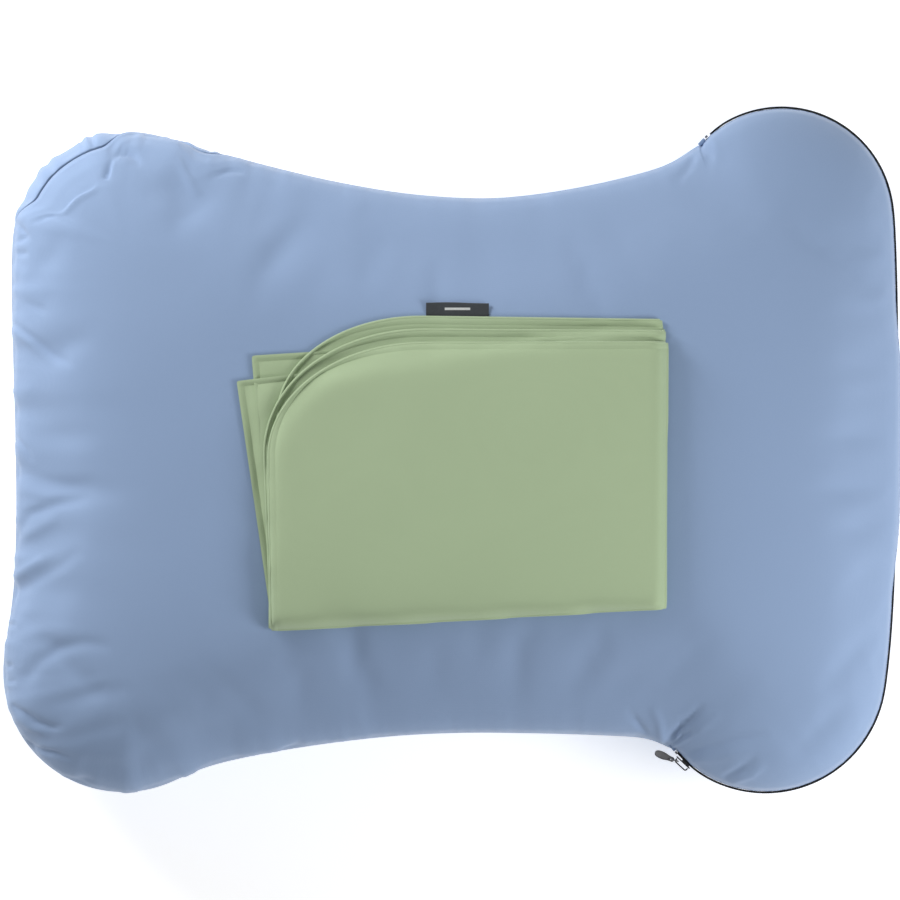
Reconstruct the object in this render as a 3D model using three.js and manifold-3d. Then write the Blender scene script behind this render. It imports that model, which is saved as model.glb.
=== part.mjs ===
// Camp pillow: a filled outer case with a zip round one end, and its spare cover lying folded on top.
// Millimetres, +Z up, +X towards the zip end. The origin is on the ground under the middle of the pillow.
import * as THREE from "three";
import Module from "manifold-3d";

const wasm = await Module();
wasm.setup();

// ---------------------------------------------------------------- driving dimensions
// Plan of the pillow: a lobe at each corner and a waist in each long side.
const pillowLength = 602;
const pillowWidth = 461;
const waistRear = 169; // half width at the rear waist
const waistFront = 190; // half width at the front waist
const waistRearX = 20;
const waistFrontX = 10;
const lobeFrontRight = { radius: 80, side: 8.5, end: 0.7, from: 216, to: 350 };
const lobeRearRight = { radius: 74.3, side: 3.3, end: 0.6, from: 4, to: 142 };
const lobeRearLeft = { radius: 76.6, side: 6.5, end: 16, from: 75, to: 177 };
const lobeFrontLeft = { radius: 80.9, side: 0, end: 0, from: 166, to: 303 };
const endReach = 60; // handles of the curves across the two ends
const waistReach = {
  rearRight: 15, rearLow: 50, rearPast: 80, rearLeft: 50,
  frontLeft: 16, frontLow: 70, frontPast: 55, frontRight: 6,
};

// Section of the pillow
const crownRise = 66; // top of the crown above the zip line
const zipHeight = 56; // zip line above the ground
const groundShare = 0.55; // part of the underside that lies flat, along each radius
const sideFullness = 0.9; // 1 gives an ellipse, less gives fuller sides
const panelThickness = 1;
const panelEdge = 5.5; // from the zip line to each panel's edge
const seamAllowance = 7; // turned in behind the bound seam
const seamAllowanceThickness = 1.6;
const linerGap = 3.5; // between the tapes' inner edges and the liner
const linerThickness = 1;
const fillGap = 2;

// Zip: the section is the same all the way round, and the chain stands out past the panels
const tapeThickness = 0.6;
const tapeReach = 13; // from the zip line to each tape's sewn edge
const coilWidth = 2.2;
const coilThickness = 1.5;
const coilSpacing = 0.7; // from the zip line to each coil
const tapeSetback = 0.2; // tape's outer face behind the pillow's outline
const endTabDegrees = 4.5;
const stopDegrees = 1.4;
const stopGapDegrees = 0.5;
const zipRearEnd = 134; // angle on the rear right lobe where the tapes stop

// Slider, pull ring and pull leaf
const sliderLength = 12;
const sliderWidth = 8.4;
const plateThickness = 0.9;
const plateGapOuter = 1.7; // outer plate's inside face, past the outline
const plateGapInner = 2.4; // inner plate's outside face, behind the outline
const sliderPostWidth = 0.7;
const plateCorner = 1.6;
const plateTaper = 1; // the plates are this much narrower, each side, at the parking end
const flangeDepth = 1.4;
const flangeWidth = 0.7;
const sliderRestDegrees = 227.3; // where the slider parks on the front right lobe
const bridgeWidth = 2.4;
const bridgeHeight = 3.1;
const bridgeWall = 0.9;
const bridgeSetIn = 0.7; // from each end of the plate
const ringWire = 1.1;
const ringLength = 4.4; // between the axes of its two bars
const ringWidth = 5.2;
const ringCorner = 1.2;
const ringFromEnd = 2.3; // ring's axis inside the end of the bridge
const ringPlay = 0.4; // between the ring's bar and the foot of the bridge
const ringRestDegrees = -65; // 0 points straight out, -90 lies back along the zip
const leafLength = 12.4;
const leafWidth = 5.2;
const leafThickness = 1;
const leafEyeRadius = 1.7;
const leafPlay = 0.4; // between the ring's bar and the leaf's eye
const leafRestDegrees = -5;

// Spare cover, folded to a quarter of its size
const coverLength = 262; // along the front fold
const coverWidth = 185; // along the right fold
const coverLayerPack = 5.4; // thickness of each folded panel
const coverGap = 1.8; // clear of the crown, which is faceted
const packGap = 1; // between the two folded panels, for the same reason
const coverLean = 6; // the rear edge lies this far to the right of the front edge
const coverCentreX = 11;
const coverFrontLeftY = -120;
const coverSlope = 15; // the front fold rises this much from left to right
const coverCornerRun = 101; // where the rounded corner begins, along the rear edge
const coverCornerDrop = 78; // and along the left edge
const cornerFullness = 0.6; // 0 cuts the corner straight across, 1 fills it
const coverBackProud = 8; // the lower panel shows this far past the upper one at the rear
const coverBackLeft = 22; // and this far past it at the left,
const coverBackDrop = 35; // where its folded corner is cut off below the rear edge
const coverBackLevel = 93; // the rear edge runs level up to here, from the upper panel's corner
const hemWidth = 9;
const hemThickness = 2.6;
const labelLength = 42;
const labelShows = 10;
const labelThickness = 0.8;
const labelRise = 2; // above the cover's underside
const labelX = 5;

const clearance = 0.3; // between pieces that touch on the real object

// ---------------------------------------------------------------- finishes
const finish = (colour, roughness, metalness = 0) =>
  new THREE.MeshStandardMaterial({ color: colour, roughness, metalness });
const blueCloth = finish(0x8fa8cf, 0.85);
const linerCloth = finish(0xe6e4dc, 0.9);
const foam = finish(0xe9e0c4, 0.95);
const blackTape = finish(0x17181b, 0.8);
const blackCoil = finish(0x121316, 0.5);
const blackPaint = finish(0x141518, 0.4, 0.5);
const greyMetal = finish(0x8d8f93, 0.35, 0.9);
const greenCloth = finish(0xa3b791, 0.9);
const labelCloth = finish(0x343a3f, 0.85);

// ---------------------------------------------------------------- plan outline
const radians = THREE.MathUtils.degToRad;

function lobeArc(lobe, sideX, sideY) {
  const centre = new THREE.Vector2(
    sideX * (pillowLength / 2 - lobe.radius - lobe.side),
    sideY * (pillowWidth / 2 - lobe.radius - lobe.end),
  );
  const [start, end] = [radians(lobe.from), radians(lobe.to)];
  const arc = new THREE.ArcCurve(centre.x, centre.y, lobe.radius, start, end, false);
  const heading = (angle, length) =>
    new THREE.Vector2(-Math.sin(angle), Math.cos(angle)).multiplyScalar(length);
  return {
    centre,
    arc,
    before: (length) => arc.getPoint(0).sub(heading(start, length)),
    after: (length) => arc.getPoint(1).add(heading(end, length)),
  };
}

const frontRight = lobeArc(lobeFrontRight, 1, -1);
const rearRight = lobeArc(lobeRearRight, 1, 1);
const rearLeft = lobeArc(lobeRearLeft, -1, 1);
const frontLeft = lobeArc(lobeFrontLeft, -1, -1);

// From one lobe to the next, leaving and arriving along the arcs. A reach is the length of a curve's handle.
const side = (from, leave, to, arrive) =>
  new THREE.CubicBezierCurve(from.arc.getPoint(1), from.after(leave), to.before(arrive), to.arc.getPoint(0));
const intoWaist = (from, leave, low, reach) =>
  new THREE.CubicBezierCurve(
    from.arc.getPoint(1), from.after(leave), low.clone().add(new THREE.Vector2(reach, 0)), low);
const outOfWaist = (low, reach, to, arrive) =>
  new THREE.CubicBezierCurve(
    low, low.clone().add(new THREE.Vector2(reach, 0)), to.before(arrive), to.arc.getPoint(0));

const rearLow = new THREE.Vector2(waistRearX, waistRear);
const frontLow = new THREE.Vector2(waistFrontX, -waistFront);
const arcSteps = 17;
const shortArcSteps = 11;
const endSteps = 6;
const waistSteps = 5;
const segments = [
  { curve: frontRight.arc, steps: arcSteps },
  { curve: side(frontRight, endReach, rearRight, endReach), steps: endSteps },
  { curve: rearRight.arc, steps: arcSteps },
  { curve: intoWaist(rearRight, waistReach.rearRight, rearLow, waistReach.rearLow), steps: waistSteps },
  { curve: outOfWaist(rearLow, -waistReach.rearPast, rearLeft, waistReach.rearLeft), steps: waistSteps },
  { curve: rearLeft.arc, steps: shortArcSteps },
  { curve: side(rearLeft, endReach, frontLeft, endReach), steps: endSteps },
  { curve: frontLeft.arc, steps: arcSteps },
  { curve: intoWaist(frontLeft, waistReach.frontLeft, frontLow, -waistReach.frontLow), steps: waistSteps },
  { curve: outOfWaist(frontLow, waistReach.frontPast, frontRight, waistReach.frontRight), steps: waistSteps },
];

// A station is a point of the outline with its outward normal.
function station(segment, t) {
  const { curve } = segments[segment];
  const point = curve.getPoint(t);
  const tangent = curve.getTangent(t);
  return { point, out: new THREE.Vector2(tangent.y, -tangent.x) };
}

// Stations from (segment, t) to (segment, t), going round counter-clockwise.
function stretch(fromSegment, fromT, toSegment, toT) {
  const found = [station(fromSegment, fromT)];
  let segment = fromSegment;
  let least = fromT;
  const nearly = 0.12; // of a step: a regular station this close to an end is left out
  while (true) {
    const last = segment === toSegment && (segment !== fromSegment || toT > least);
    const { steps } = segments[segment];
    const most = last ? toT : 1;
    for (let i = 1; i <= steps; i++) {
      const t = i / steps;
      if (t * steps > least * steps + nearly && t * steps < most * steps - nearly) {
        found.push(station(segment, t));
      }
    }
    if (last) {
      found.push(station(segment, toT));
      return found;
    }
    segment = (segment + 1) % segments.length;
    found.push(station(segment, 0));
    least = 0;
  }
}

const everyStation = segments.flatMap((segment, index) =>
  Array.from({ length: segment.steps }, (_, i) => station(index, i / segment.steps)));
const arcShare = (lobe, degrees) => (degrees - lobe.from) / (lobe.to - lobe.from);

// ---------------------------------------------------------------- closed meshes from rings
// Joins rings of equal length. Each end is closed by an apex, by a flat cap, or by the other end.
function loft(rings, ends) {
  const size = rings[0].length;
  const points = rings.flat();
  const triangles = [];
  const joined = ends.round ? rings.length : rings.length - 1;
  for (let r = 0; r < joined; r++) {
    const next = (r + 1) % rings.length;
    for (let i = 0; i < size; i++) {
      const j = (i + 1) % size;
      const [a, b, c, d] = [r * size + i, r * size + j, next * size + j, next * size + i];
      triangles.push(a, b, c, a, c, d);
    }
  }
  if (ends.apexes) {
    const [first, last] = [points.length, points.length + 1];
    points.push(...ends.apexes);
    const base = (rings.length - 1) * size;
    for (let i = 0; i < size; i++) {
      const j = (i + 1) % size;
      triangles.push(first, j, i, last, base + i, base + j);
    }
  }
  if (ends.section) {
    const base = (rings.length - 1) * size;
    for (const [a, b, c] of THREE.ShapeUtils.triangulateShape(ends.section, [])) {
      triangles.push(b, a, c, base + a, base + b, base + c);
    }
  }
  const geometry = new THREE.BufferGeometry();
  geometry.setAttribute(
    "position", new THREE.Float32BufferAttribute(points.flatMap((p) => [p.x, p.y, p.z]), 3));
  geometry.setIndex(facingOut(points, triangles));
  geometry.computeVertexNormals();
  return geometry;
}

function facingOut(points, triangles) {
  let volume = 0;
  for (let i = 0; i < triangles.length; i += 3) {
    const [a, b, c] = [points[triangles[i]], points[triangles[i + 1]], points[triangles[i + 2]]];
    volume += new THREE.Vector3().crossVectors(b, c).dot(a);
  }
  return volume > 0 ? triangles : triangles.reverse();
}

// ---------------------------------------------------------------- surfaces of the filled case
// Radius of the outline in one direction from the middle.
function outlineRadius(direction) {
  const along = new THREE.Vector2(Math.cos(direction), Math.sin(direction));
  let best = 0;
  everyStation.forEach(({ point: p }, index) => {
    const q = everyStation[(index + 1) % everyStation.length].point;
    const edge = q.clone().sub(p);
    const across = along.cross(edge);
    const reach = p.cross(edge) / across;
    const share = p.cross(along) / across;
    if (reach > 0 && share >= 0 && share <= 1) best = Math.max(best, reach);
  });
  return best;
}

// Height of the crown over any point of the plan.
function crownHeight(x, y) {
  const share = Math.min(Math.hypot(x, y) / outlineRadius(Math.atan2(y, x)), 1);
  const lift = Math.acos(share ** (1 / sideFullness));
  return zipHeight + crownRise * Math.sin(lift) ** sideFullness;
}

const liftFor = (height, rise) => Math.asin((height / rise) ** (1 / sideFullness));

// Rings from the panel's edge up to its middle, set inside the outline by an inset.
function domeRings(stations, inset, rise, edge, flat, upwards, levels) {
  const from = liftFor(edge, rise - inset);
  return Array.from({ length: levels }, (_, level) => {
    const reachesFlat = flat > 0 ? levels - 1 : levels;
    const lift = from + (Math.PI / 2 - from) * (level / reachesFlat);
    const share = flat + (1 - flat) * Math.cos(lift) ** sideFullness;
    const height = (rise - inset) * Math.sin(lift) ** sideFullness;
    return stations.map(({ point, out }) => new THREE.Vector3(
      (point.x - out.x * inset) * share,
      (point.y - out.y * inset) * share,
      zipHeight + upwards * height,
    ));
  });
}

const apex = (rise, inset, upwards) => new THREE.Vector3(0, 0, zipHeight + upwards * (rise - inset));

function shell(stations, inset, thickness, edge, flat, rise, upwards, levels) {
  const outer = domeRings(stations, inset, rise, edge, flat, upwards, levels);
  const inner = domeRings(stations, inset + thickness, rise, edge, flat, upwards, levels);
  return loft([...outer.reverse(), ...inner], {
    apexes: [apex(rise, inset, upwards), apex(rise, inset + thickness, upwards)],
  });
}

// A section of constant shape, carried along a stretch of the outline. Its points are
// (distance out from the outline, height above the zip line).
function band(stations, section) {
  const rings = stations.map(({ point, out }) => section.map(([outwards, up]) => new THREE.Vector3(
    point.x + out.x * outwards, point.y + out.y * outwards, zipHeight + up)));
  return loft(rings, { section: section.map(([outwards, up]) => new THREE.Vector2(outwards, up)) });
}

const mirrored = (section) => section.map(([outwards, up]) => [outwards, -up]).reverse();
const rectangle = (inner, outer, low, high) => [[inner, low], [outer, low], [outer, high], [inner, high]];

// ---------------------------------------------------------------- the object
const group = new THREE.Group();

function add(name, geometry, material, parent = group) {
  const mesh = new THREE.Mesh(geometry, material);
  mesh.name = name;
  parent.add(mesh);
  return mesh;
}

// Outer case
const panelLevels = 6;
add("top_panel", shell(everyStation, 0, panelThickness, panelEdge, 0, crownRise, 1, panelLevels), blueCloth);
add("bottom_panel",
  shell(everyStation, 0, panelThickness, panelEdge, groundShare, zipHeight, -1, panelLevels), blueCloth);

// How far behind the outline the inside of the top panel lies, where the pillow is widest.
const widest = everyStation.reduce((a, b) => (a.point.length() > b.point.length() ? a : b));
function behindWall(height) {
  const rings = domeRings([widest], panelThickness, crownRise, panelEdge, 0, 1, panelLevels);
  const [low, next] = rings.map(([point]) => point);
  const point = low.clone().lerp(next, (zipHeight + height - low.z) / (next.z - low.z));
  return widest.point.length() - Math.hypot(point.x, point.y);
}

// Distance behind the outline of a tape that lies against the panel.
const behindPanel = (height) => behindWall(height) + 1.5 * clearance;

// Liner bag and fill
const linerLevels = 5;
const linerEdge = clearance / 2;
const linerInset = behindPanel(tapeReach) + tapeThickness + linerGap;
add("liner_top",
  shell(everyStation, linerInset, linerThickness, linerEdge, 0, crownRise, 1, linerLevels), linerCloth);
add("liner_bottom",
  shell(everyStation, linerInset, linerThickness, linerEdge, groundShare, zipHeight, -1, linerLevels),
  linerCloth);

const fillInset = linerInset + linerThickness + fillGap;
const fillTop = domeRings(everyStation, fillInset, crownRise, linerEdge, 0, 1, linerLevels);
const fillUnder = domeRings(everyStation, fillInset, zipHeight, linerEdge, groundShare, -1, linerLevels);
add("foam_fill",
  loft([...fillTop.reverse(), ...fillUnder], {
    apexes: [apex(crownRise, fillInset, 1), apex(zipHeight, fillInset, -1)],
  }), foam);

// Where things begin and end along the outline. Segment 0 is the front right lobe and 2 the rear right.
const onFront = (degrees) => arcShare(lobeFrontRight, degrees);
const onRear = (degrees) => arcShare(lobeRearRight, degrees);
const frontTabEnd = lobeFrontRight.from + endTabDegrees;
const stopFrom = frontTabEnd + stopGapDegrees;
const coilFrom = stopFrom + stopDegrees + stopGapDegrees;
const coilTo = zipRearEnd - stopDegrees - 2 * stopGapDegrees;
const rearStopFrom = coilTo + stopGapDegrees;
const gapDegrees = 0.3;

// Zip
// Each tape runs flat behind its coil, then slants in to lie behind the panel.
const slantFrom = coilSpacing + coilWidth + clearance;
const slantTo = panelEdge - 2 * clearance;
const tapeOuter = [
  [-tapeSetback, coilSpacing],
  [-tapeSetback, slantFrom],
  [-behindPanel(panelEdge), slantTo],
  [-behindPanel(tapeReach), tapeReach],
];
const tapeInner = tapeOuter.map(([outwards, up]) => [outwards - tapeThickness, up]).reverse();
const tapeSection = [...tapeOuter, ...tapeInner];
const tapeStations = stretch(0, onFront(frontTabEnd + gapDegrees), 2, onRear(zipRearEnd));
add("zip_tape_upper", band(tapeStations, tapeSection), blackTape);
add("zip_tape_lower", band(tapeStations, mirrored(tapeSection)), blackTape);

const coilInner = clearance - tapeSetback;
const coilSection = rectangle(coilInner, coilInner + coilThickness, coilSpacing, coilSpacing + coilWidth);
const coilStations = stretch(0, onFront(coilFrom), 2, onRear(coilTo));
add("zip_coil_upper", band(coilStations, coilSection), blackCoil);
add("zip_coil_lower", band(coilStations, mirrored(coilSection)), blackCoil);

const stopSection = rectangle(coilInner, coilInner + coilThickness, coilSpacing / 2, coilSpacing + coilWidth);
const parkStations = stretch(0, onFront(stopFrom), 0, onFront(stopFrom + stopDegrees));
add("zip_parking_stop_upper", band(parkStations, stopSection), greyMetal);
add("zip_parking_stop_lower", band(parkStations, mirrored(stopSection)), greyMetal);
const chainHalf = coilSpacing + coilWidth;
const fullStop = rectangle(coilInner, coilInner + coilThickness, -chainHalf, chainHalf);
add("zip_end_stop",
  band(stretch(2, onRear(rearStopFrom), 2, onRear(rearStopFrom + stopDegrees)), fullStop), greyMetal);

// Fabric tabs over the tape ends
const tabHalf = panelEdge - clearance;
const tabSection = rectangle(-panelThickness, coilInner + coilThickness, -tabHalf, tabHalf);
add("zip_end_tab_front",
  band(stretch(0, onFront(lobeFrontRight.from + gapDegrees), 0, onFront(frontTabEnd)), tabSection),
  blueCloth);
add("zip_end_tab_rear",
  band(stretch(2, onRear(zipRearEnd + gapDegrees), 2, onRear(zipRearEnd + endTabDegrees)), tabSection),
  blueCloth);

// Bound seam round the rest of the outline, its allowance turned in
const allowanceHalf = seamAllowanceThickness / 2;
const seamHalf = panelEdge - clearance;
const seamSection = [
  [0, -seamHalf], [0, seamHalf], [-panelThickness, seamHalf], [-panelThickness, allowanceHalf],
  [-seamAllowance, allowanceHalf], [-seamAllowance, -allowanceHalf], [-panelThickness, -allowanceHalf],
  [-panelThickness, -seamHalf],
];
add("bound_seam",
  band(stretch(2, onRear(zipRearEnd + endTabDegrees + gapDegrees), 0, 0), seamSection), blueCloth);

// ---------------------------------------------------------------- booleans
function toSolid(geometry) {
  const plain = geometry.index ? geometry.toNonIndexed() : geometry;
  const position = plain.getAttribute("position");
  const solid = new wasm.Mesh({
    numProp: 3,
    vertProperties: new Float32Array(position.array),
    triVerts: new Uint32Array(Array.from({ length: position.count }, (_, i) => i)),
  });
  solid.merge();
  return new wasm.Manifold(solid);
}

function fromSolid(solid) {
  const mesh = solid.getMesh();
  const geometry = new THREE.BufferGeometry();
  geometry.setAttribute("position", new THREE.Float32BufferAttribute(mesh.vertProperties, 3));
  geometry.setIndex(Array.from(mesh.triVerts));
  geometry.computeVertexNormals();
  return geometry;
}

// ---------------------------------------------------------------- slider
// The slider's frame has x out from the lobe's centre, y along the zip and z up.
const sliderFrame = new THREE.Group();
sliderFrame.position.set(frontRight.centre.x, frontRight.centre.y, zipHeight);
sliderFrame.rotation.z = radians(sliderRestDegrees);
group.add(sliderFrame);
const zipRadius = lobeFrontRight.radius;

function roundedPlate(length, width, corner, taper) {
  const [l, w, n] = [length / 2, width / 2, width / 2 - taper];
  const shape = new THREE.Shape();
  shape.moveTo(-l + corner, -n);
  shape.lineTo(l - corner, -w);
  shape.quadraticCurveTo(l, -w, l, -w + corner);
  shape.lineTo(l, w - corner);
  shape.quadraticCurveTo(l, w, l - corner, w);
  shape.lineTo(-l + corner, n);
  shape.quadraticCurveTo(-l, n, -l, n - corner);
  shape.lineTo(-l, -n + corner);
  shape.quadraticCurveTo(-l, -n, -l + corner, -n);
  return shape;
}

// Turns an extrusion so that its shape stands along the zip and upright, and its depth points out.
const standing = new THREE.Matrix4().makeBasis(
  new THREE.Vector3(0, 1, 0), new THREE.Vector3(0, 0, 1), new THREE.Vector3(1, 0, 0));

function sliderPlate(inner) {
  const plate = roundedPlate(sliderLength, sliderWidth, plateCorner, plateTaper);
  const geometry = new THREE.ExtrudeGeometry(
    plate, { depth: plateThickness, bevelEnabled: false, curveSegments: 4 });
  return geometry.applyMatrix4(standing).translate(zipRadius + inner, 0, 0);
}

function sliderBody() {
  const outer = toSolid(sliderPlate(plateGapOuter));
  const inner = toSolid(sliderPlate(-plateGapInner - plateThickness));
  const postDepth = plateGapOuter + plateGapInner + plateThickness;
  const post = new THREE.BoxGeometry(postDepth, sliderLength / 4, sliderPostWidth);
  post.translate(zipRadius + (plateGapOuter - plateGapInner) / 2, sliderLength / 4, 0);
  let solid = outer.add(inner).add(toSolid(post));
  for (const up of [-1, 1]) {
    const flange = new THREE.BoxGeometry(flangeDepth + plateThickness / 2, sliderLength / 2, flangeWidth);
    flange.translate(
      zipRadius + plateGapOuter - flangeDepth / 2 + plateThickness / 4, sliderLength / 8,
      up * (sliderWidth / 2 - flangeWidth));
    solid = solid.add(toSolid(flange));
  }
  return fromSolid(solid);
}
add("slider_body", sliderBody(), blackPaint, sliderFrame);

const plateFace = plateGapOuter + plateThickness;
const bridgeHalf = sliderLength / 2 - bridgeSetIn;
function bridgeArch() {
  const half = bridgeHalf;
  const corner = plateCorner;
  const foot = plateFace + clearance;
  const top = plateFace + bridgeHeight;
  const shape = new THREE.Shape();
  shape.moveTo(-half, foot);
  shape.lineTo(-half, top - corner);
  shape.quadraticCurveTo(-half, top, -half + corner, top);
  shape.lineTo(half - corner, top);
  shape.quadraticCurveTo(half, top, half, top - corner);
  shape.lineTo(half, foot);
  shape.lineTo(half - bridgeWall, foot);
  shape.lineTo(half - bridgeWall, top - corner);
  shape.quadraticCurveTo(half - bridgeWall, top - bridgeWall, half - corner, top - bridgeWall);
  shape.lineTo(-half + corner, top - bridgeWall);
  shape.quadraticCurveTo(-half + bridgeWall, top - bridgeWall, -half + bridgeWall, top - corner);
  shape.lineTo(-half + bridgeWall, foot);
  shape.closePath();
  const geometry = new THREE.ExtrudeGeometry(
    shape, { depth: bridgeWidth, bevelEnabled: false, curveSegments: 4 });
  const lying = new THREE.Matrix4().makeBasis(
    new THREE.Vector3(0, 1, 0), new THREE.Vector3(1, 0, 0), new THREE.Vector3(0, 0, -1));
  return geometry.applyMatrix4(lying).translate(zipRadius, 0, bridgeWidth / 2);
}
add("slider_bridge", bridgeArch(), blackPaint, sliderFrame);

// ---------------------------------------------------------------- pull ring and leaf
// The ring turns about its near bar, inside the bridge, and the leaf about the ring's far bar.
const ringAxisOut = plateFace + clearance + ringPlay + ringWire / 2;
const ringAxisAlong = ringFromEnd - bridgeHalf;
const ringFrame = new THREE.Group();
ringFrame.position.set(zipRadius + ringAxisOut, ringAxisAlong, 0);
ringFrame.rotation.z = radians(ringRestDegrees);
sliderFrame.add(ringFrame);

function wireLoop(length, width, corner, wire) {
  const centres = [
    [length - corner, width / 2 - corner, 0], [corner, width / 2 - corner, 90],
    [corner, -width / 2 + corner, 180], [length - corner, -width / 2 + corner, 270],
  ];
  const turns = 3;
  const sides = 8;
  const rings = [];
  for (const [x, z, start] of centres) {
    for (let i = 0; i <= turns; i++) {
      const turn = radians(start + 90 * (i / turns));
      const outwards = new THREE.Vector3(Math.cos(turn), 0, Math.sin(turn));
      const middle = new THREE.Vector3(x, 0, z).addScaledVector(outwards, corner);
      rings.push(Array.from({ length: sides }, (_, k) => {
        const round = (k / sides) * 2 * Math.PI;
        return middle.clone()
          .addScaledVector(outwards, Math.cos(round) * wire / 2)
          .add(new THREE.Vector3(0, Math.sin(round) * wire / 2, 0));
      }));
    }
  }
  return loft(rings, { round: true });
}
add("pull_ring", wireLoop(ringLength, ringWidth - ringWire, ringCorner, ringWire), greyMetal, ringFrame);

const leafFrame = new THREE.Group();
leafFrame.position.set(ringLength, 0, 0);
leafFrame.rotation.z = radians(leafRestDegrees);
ringFrame.add(leafFrame);

function leaf() {
  const half = leafWidth / 2;
  const shape = new THREE.Shape();
  shape.absarc(0, 0, leafEyeRadius, radians(80), radians(280), false);
  shape.bezierCurveTo(leafLength * 0.3, -leafEyeRadius, leafLength * 0.35, -half, leafLength * 0.6, -half);
  shape.bezierCurveTo(leafLength * 0.9, -half, leafLength, -half * 0.6, leafLength, 0);
  shape.bezierCurveTo(leafLength, half * 0.6, leafLength * 0.9, half, leafLength * 0.6, half);
  shape.bezierCurveTo(
    leafLength * 0.35, half, leafLength * 0.3, leafEyeRadius,
    leafEyeRadius * Math.cos(radians(80)), leafEyeRadius * Math.sin(radians(80)));
  const eye = new THREE.Path();
  eye.absarc(0, 0, ringWire / 2 + leafPlay, 0, 2 * Math.PI, true);
  shape.holes.push(eye);
  const geometry = new THREE.ExtrudeGeometry(
    shape, { depth: leafThickness, bevelEnabled: false, curveSegments: 8 });
  return geometry.translate(0, 0, -leafThickness / 2);
}
add("pull_leaf", leaf(), greyMetal, leafFrame);

// ---------------------------------------------------------------- spare cover
// A closed slab over an outline: it follows the crown from a height to a height above it.
function blanket(outline, low, high, levels) {
  const middle = outline.reduce((sum, p) => sum.clone().add(p), new THREE.Vector2())
    .divideScalar(outline.length);
  const at = (p, share, rise) => {
    const x = middle.x + (p.x - middle.x) * share;
    const y = middle.y + (p.y - middle.y) * share;
    return new THREE.Vector3(x, y, crownHeight(x, y) + rise);
  };
  const shares = Array.from({ length: levels }, (_, level) => 1 - level / levels);
  const top = shares.map((share) => outline.map((p) => at(p, share, high)));
  const under = shares.map((share) => outline.map((p) => at(p, share, low)));
  return loft([...top.reverse(), ...under], {
    apexes: [at(middle, 0, high), at(middle, 0, low)],
  });
}

const coverFrontLeft = new THREE.Vector2(coverCentreX - coverLength / 2, coverFrontLeftY);
const coverFrontRight = new THREE.Vector2(coverCentreX + coverLength / 2, coverFrontLeftY + coverSlope);
const coverRearRight = coverFrontRight.clone().add(new THREE.Vector2(coverLean, coverWidth));
const coverRearLeft = coverFrontLeft.clone().add(new THREE.Vector2(0, coverWidth + coverSlope));

// Points along a straight edge, without its last one.
const edgePoints = (from, to, pieces) =>
  Array.from({ length: pieces }, (_, i) => from.clone().lerp(to, i / pieces));

const foldPieces = { front: 16, right: 12, rear: 9, corner: 9, left: 7 };
const hemFrom = foldPieces.front + foldPieces.right + 1; // just past the rear right corner
const hemTo = hemFrom + foldPieces.rear - 1 + foldPieces.corner - 1;

// The upper panel has one rounded corner, at the rear left, and its edge is set in by the hem.
function coverOutline(inset) {
  const rear = new THREE.Vector2(0, inset);
  const left = new THREE.Vector2(inset, 0);
  const rearRightCorner = coverRearRight.clone().sub(rear);
  const cornerStart = coverRearLeft.clone().add(new THREE.Vector2(coverCornerRun, 0)).sub(rear);
  const cornerEnd = coverRearLeft.clone().sub(new THREE.Vector2(0, coverCornerDrop)).add(left);
  const cornerPoint = coverRearLeft.clone().sub(rear).add(left);
  const corner = new THREE.CubicBezierCurve(
    cornerStart,
    cornerStart.clone().lerp(cornerPoint, cornerFullness),
    cornerEnd.clone().lerp(cornerPoint, cornerFullness),
    cornerEnd,
  );
  return [
    ...edgePoints(coverFrontLeft, coverFrontRight, foldPieces.front),
    ...edgePoints(coverFrontRight, rearRightCorner, foldPieces.right),
    ...edgePoints(rearRightCorner, cornerStart, foldPieces.rear),
    ...Array.from({ length: foldPieces.corner }, (_, i) => corner.getPoint(i / foldPieces.corner)),
    ...edgePoints(cornerEnd, coverFrontLeft, foldPieces.left),
  ];
}

const backRearRight = coverRearRight.clone().add(new THREE.Vector2(-coverLean, coverBackProud));
const backRearMiddle = coverRearLeft.clone().add(new THREE.Vector2(coverBackLevel, coverBackProud));
const backRearLeft = coverRearLeft.clone().add(new THREE.Vector2(-coverBackLeft / 2, -coverBackDrop / 2));
const backLeftCorner = coverRearLeft.clone().add(new THREE.Vector2(-coverBackLeft, -coverBackDrop));
const backOutline = [
  ...edgePoints(coverFrontLeft, coverFrontRight, foldPieces.front),
  ...edgePoints(coverFrontRight, backRearRight, foldPieces.right),
  ...edgePoints(backRearRight, backRearMiddle, foldPieces.rear),
  ...edgePoints(backRearMiddle, backRearLeft, foldPieces.left),
  backRearLeft,
  ...edgePoints(backLeftCorner, coverFrontLeft, foldPieces.right),
];

const blanketLevels = 9;
const upperLow = coverGap + coverLayerPack + packGap;
add("cover_back_panel", blanket(backOutline, coverGap, coverGap + coverLayerPack, blanketLevels), greenCloth);
add("cover_front_panel",
  blanket(coverOutline(hemWidth), upperLow, upperLow + coverLayerPack, blanketLevels), greenCloth);

// The hem runs along the rear edge and round the corner, just outside the upper panel.
function hemStrip() {
  const outer = coverOutline(0);
  const inner = coverOutline(hemWidth);
  const rings = [];
  for (let i = hemFrom; i <= hemTo; i++) {
    const inside = inner[i].clone().lerp(outer[i], (clearance * 2) / hemWidth);
    const corners = [[outer[i], 0], [outer[i], hemThickness], [inside, hemThickness], [inside, 0]];
    rings.push(corners.map(([p, rise]) =>
      new THREE.Vector3(p.x, p.y, crownHeight(p.x, p.y) + upperLow + rise)));
  }
  return loft(rings, { section: rectangle(0, 1, 0, 1).map(([a, b]) => new THREE.Vector2(a, b)) });
}
add("cover_hem", hemStrip(), greenCloth);

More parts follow.
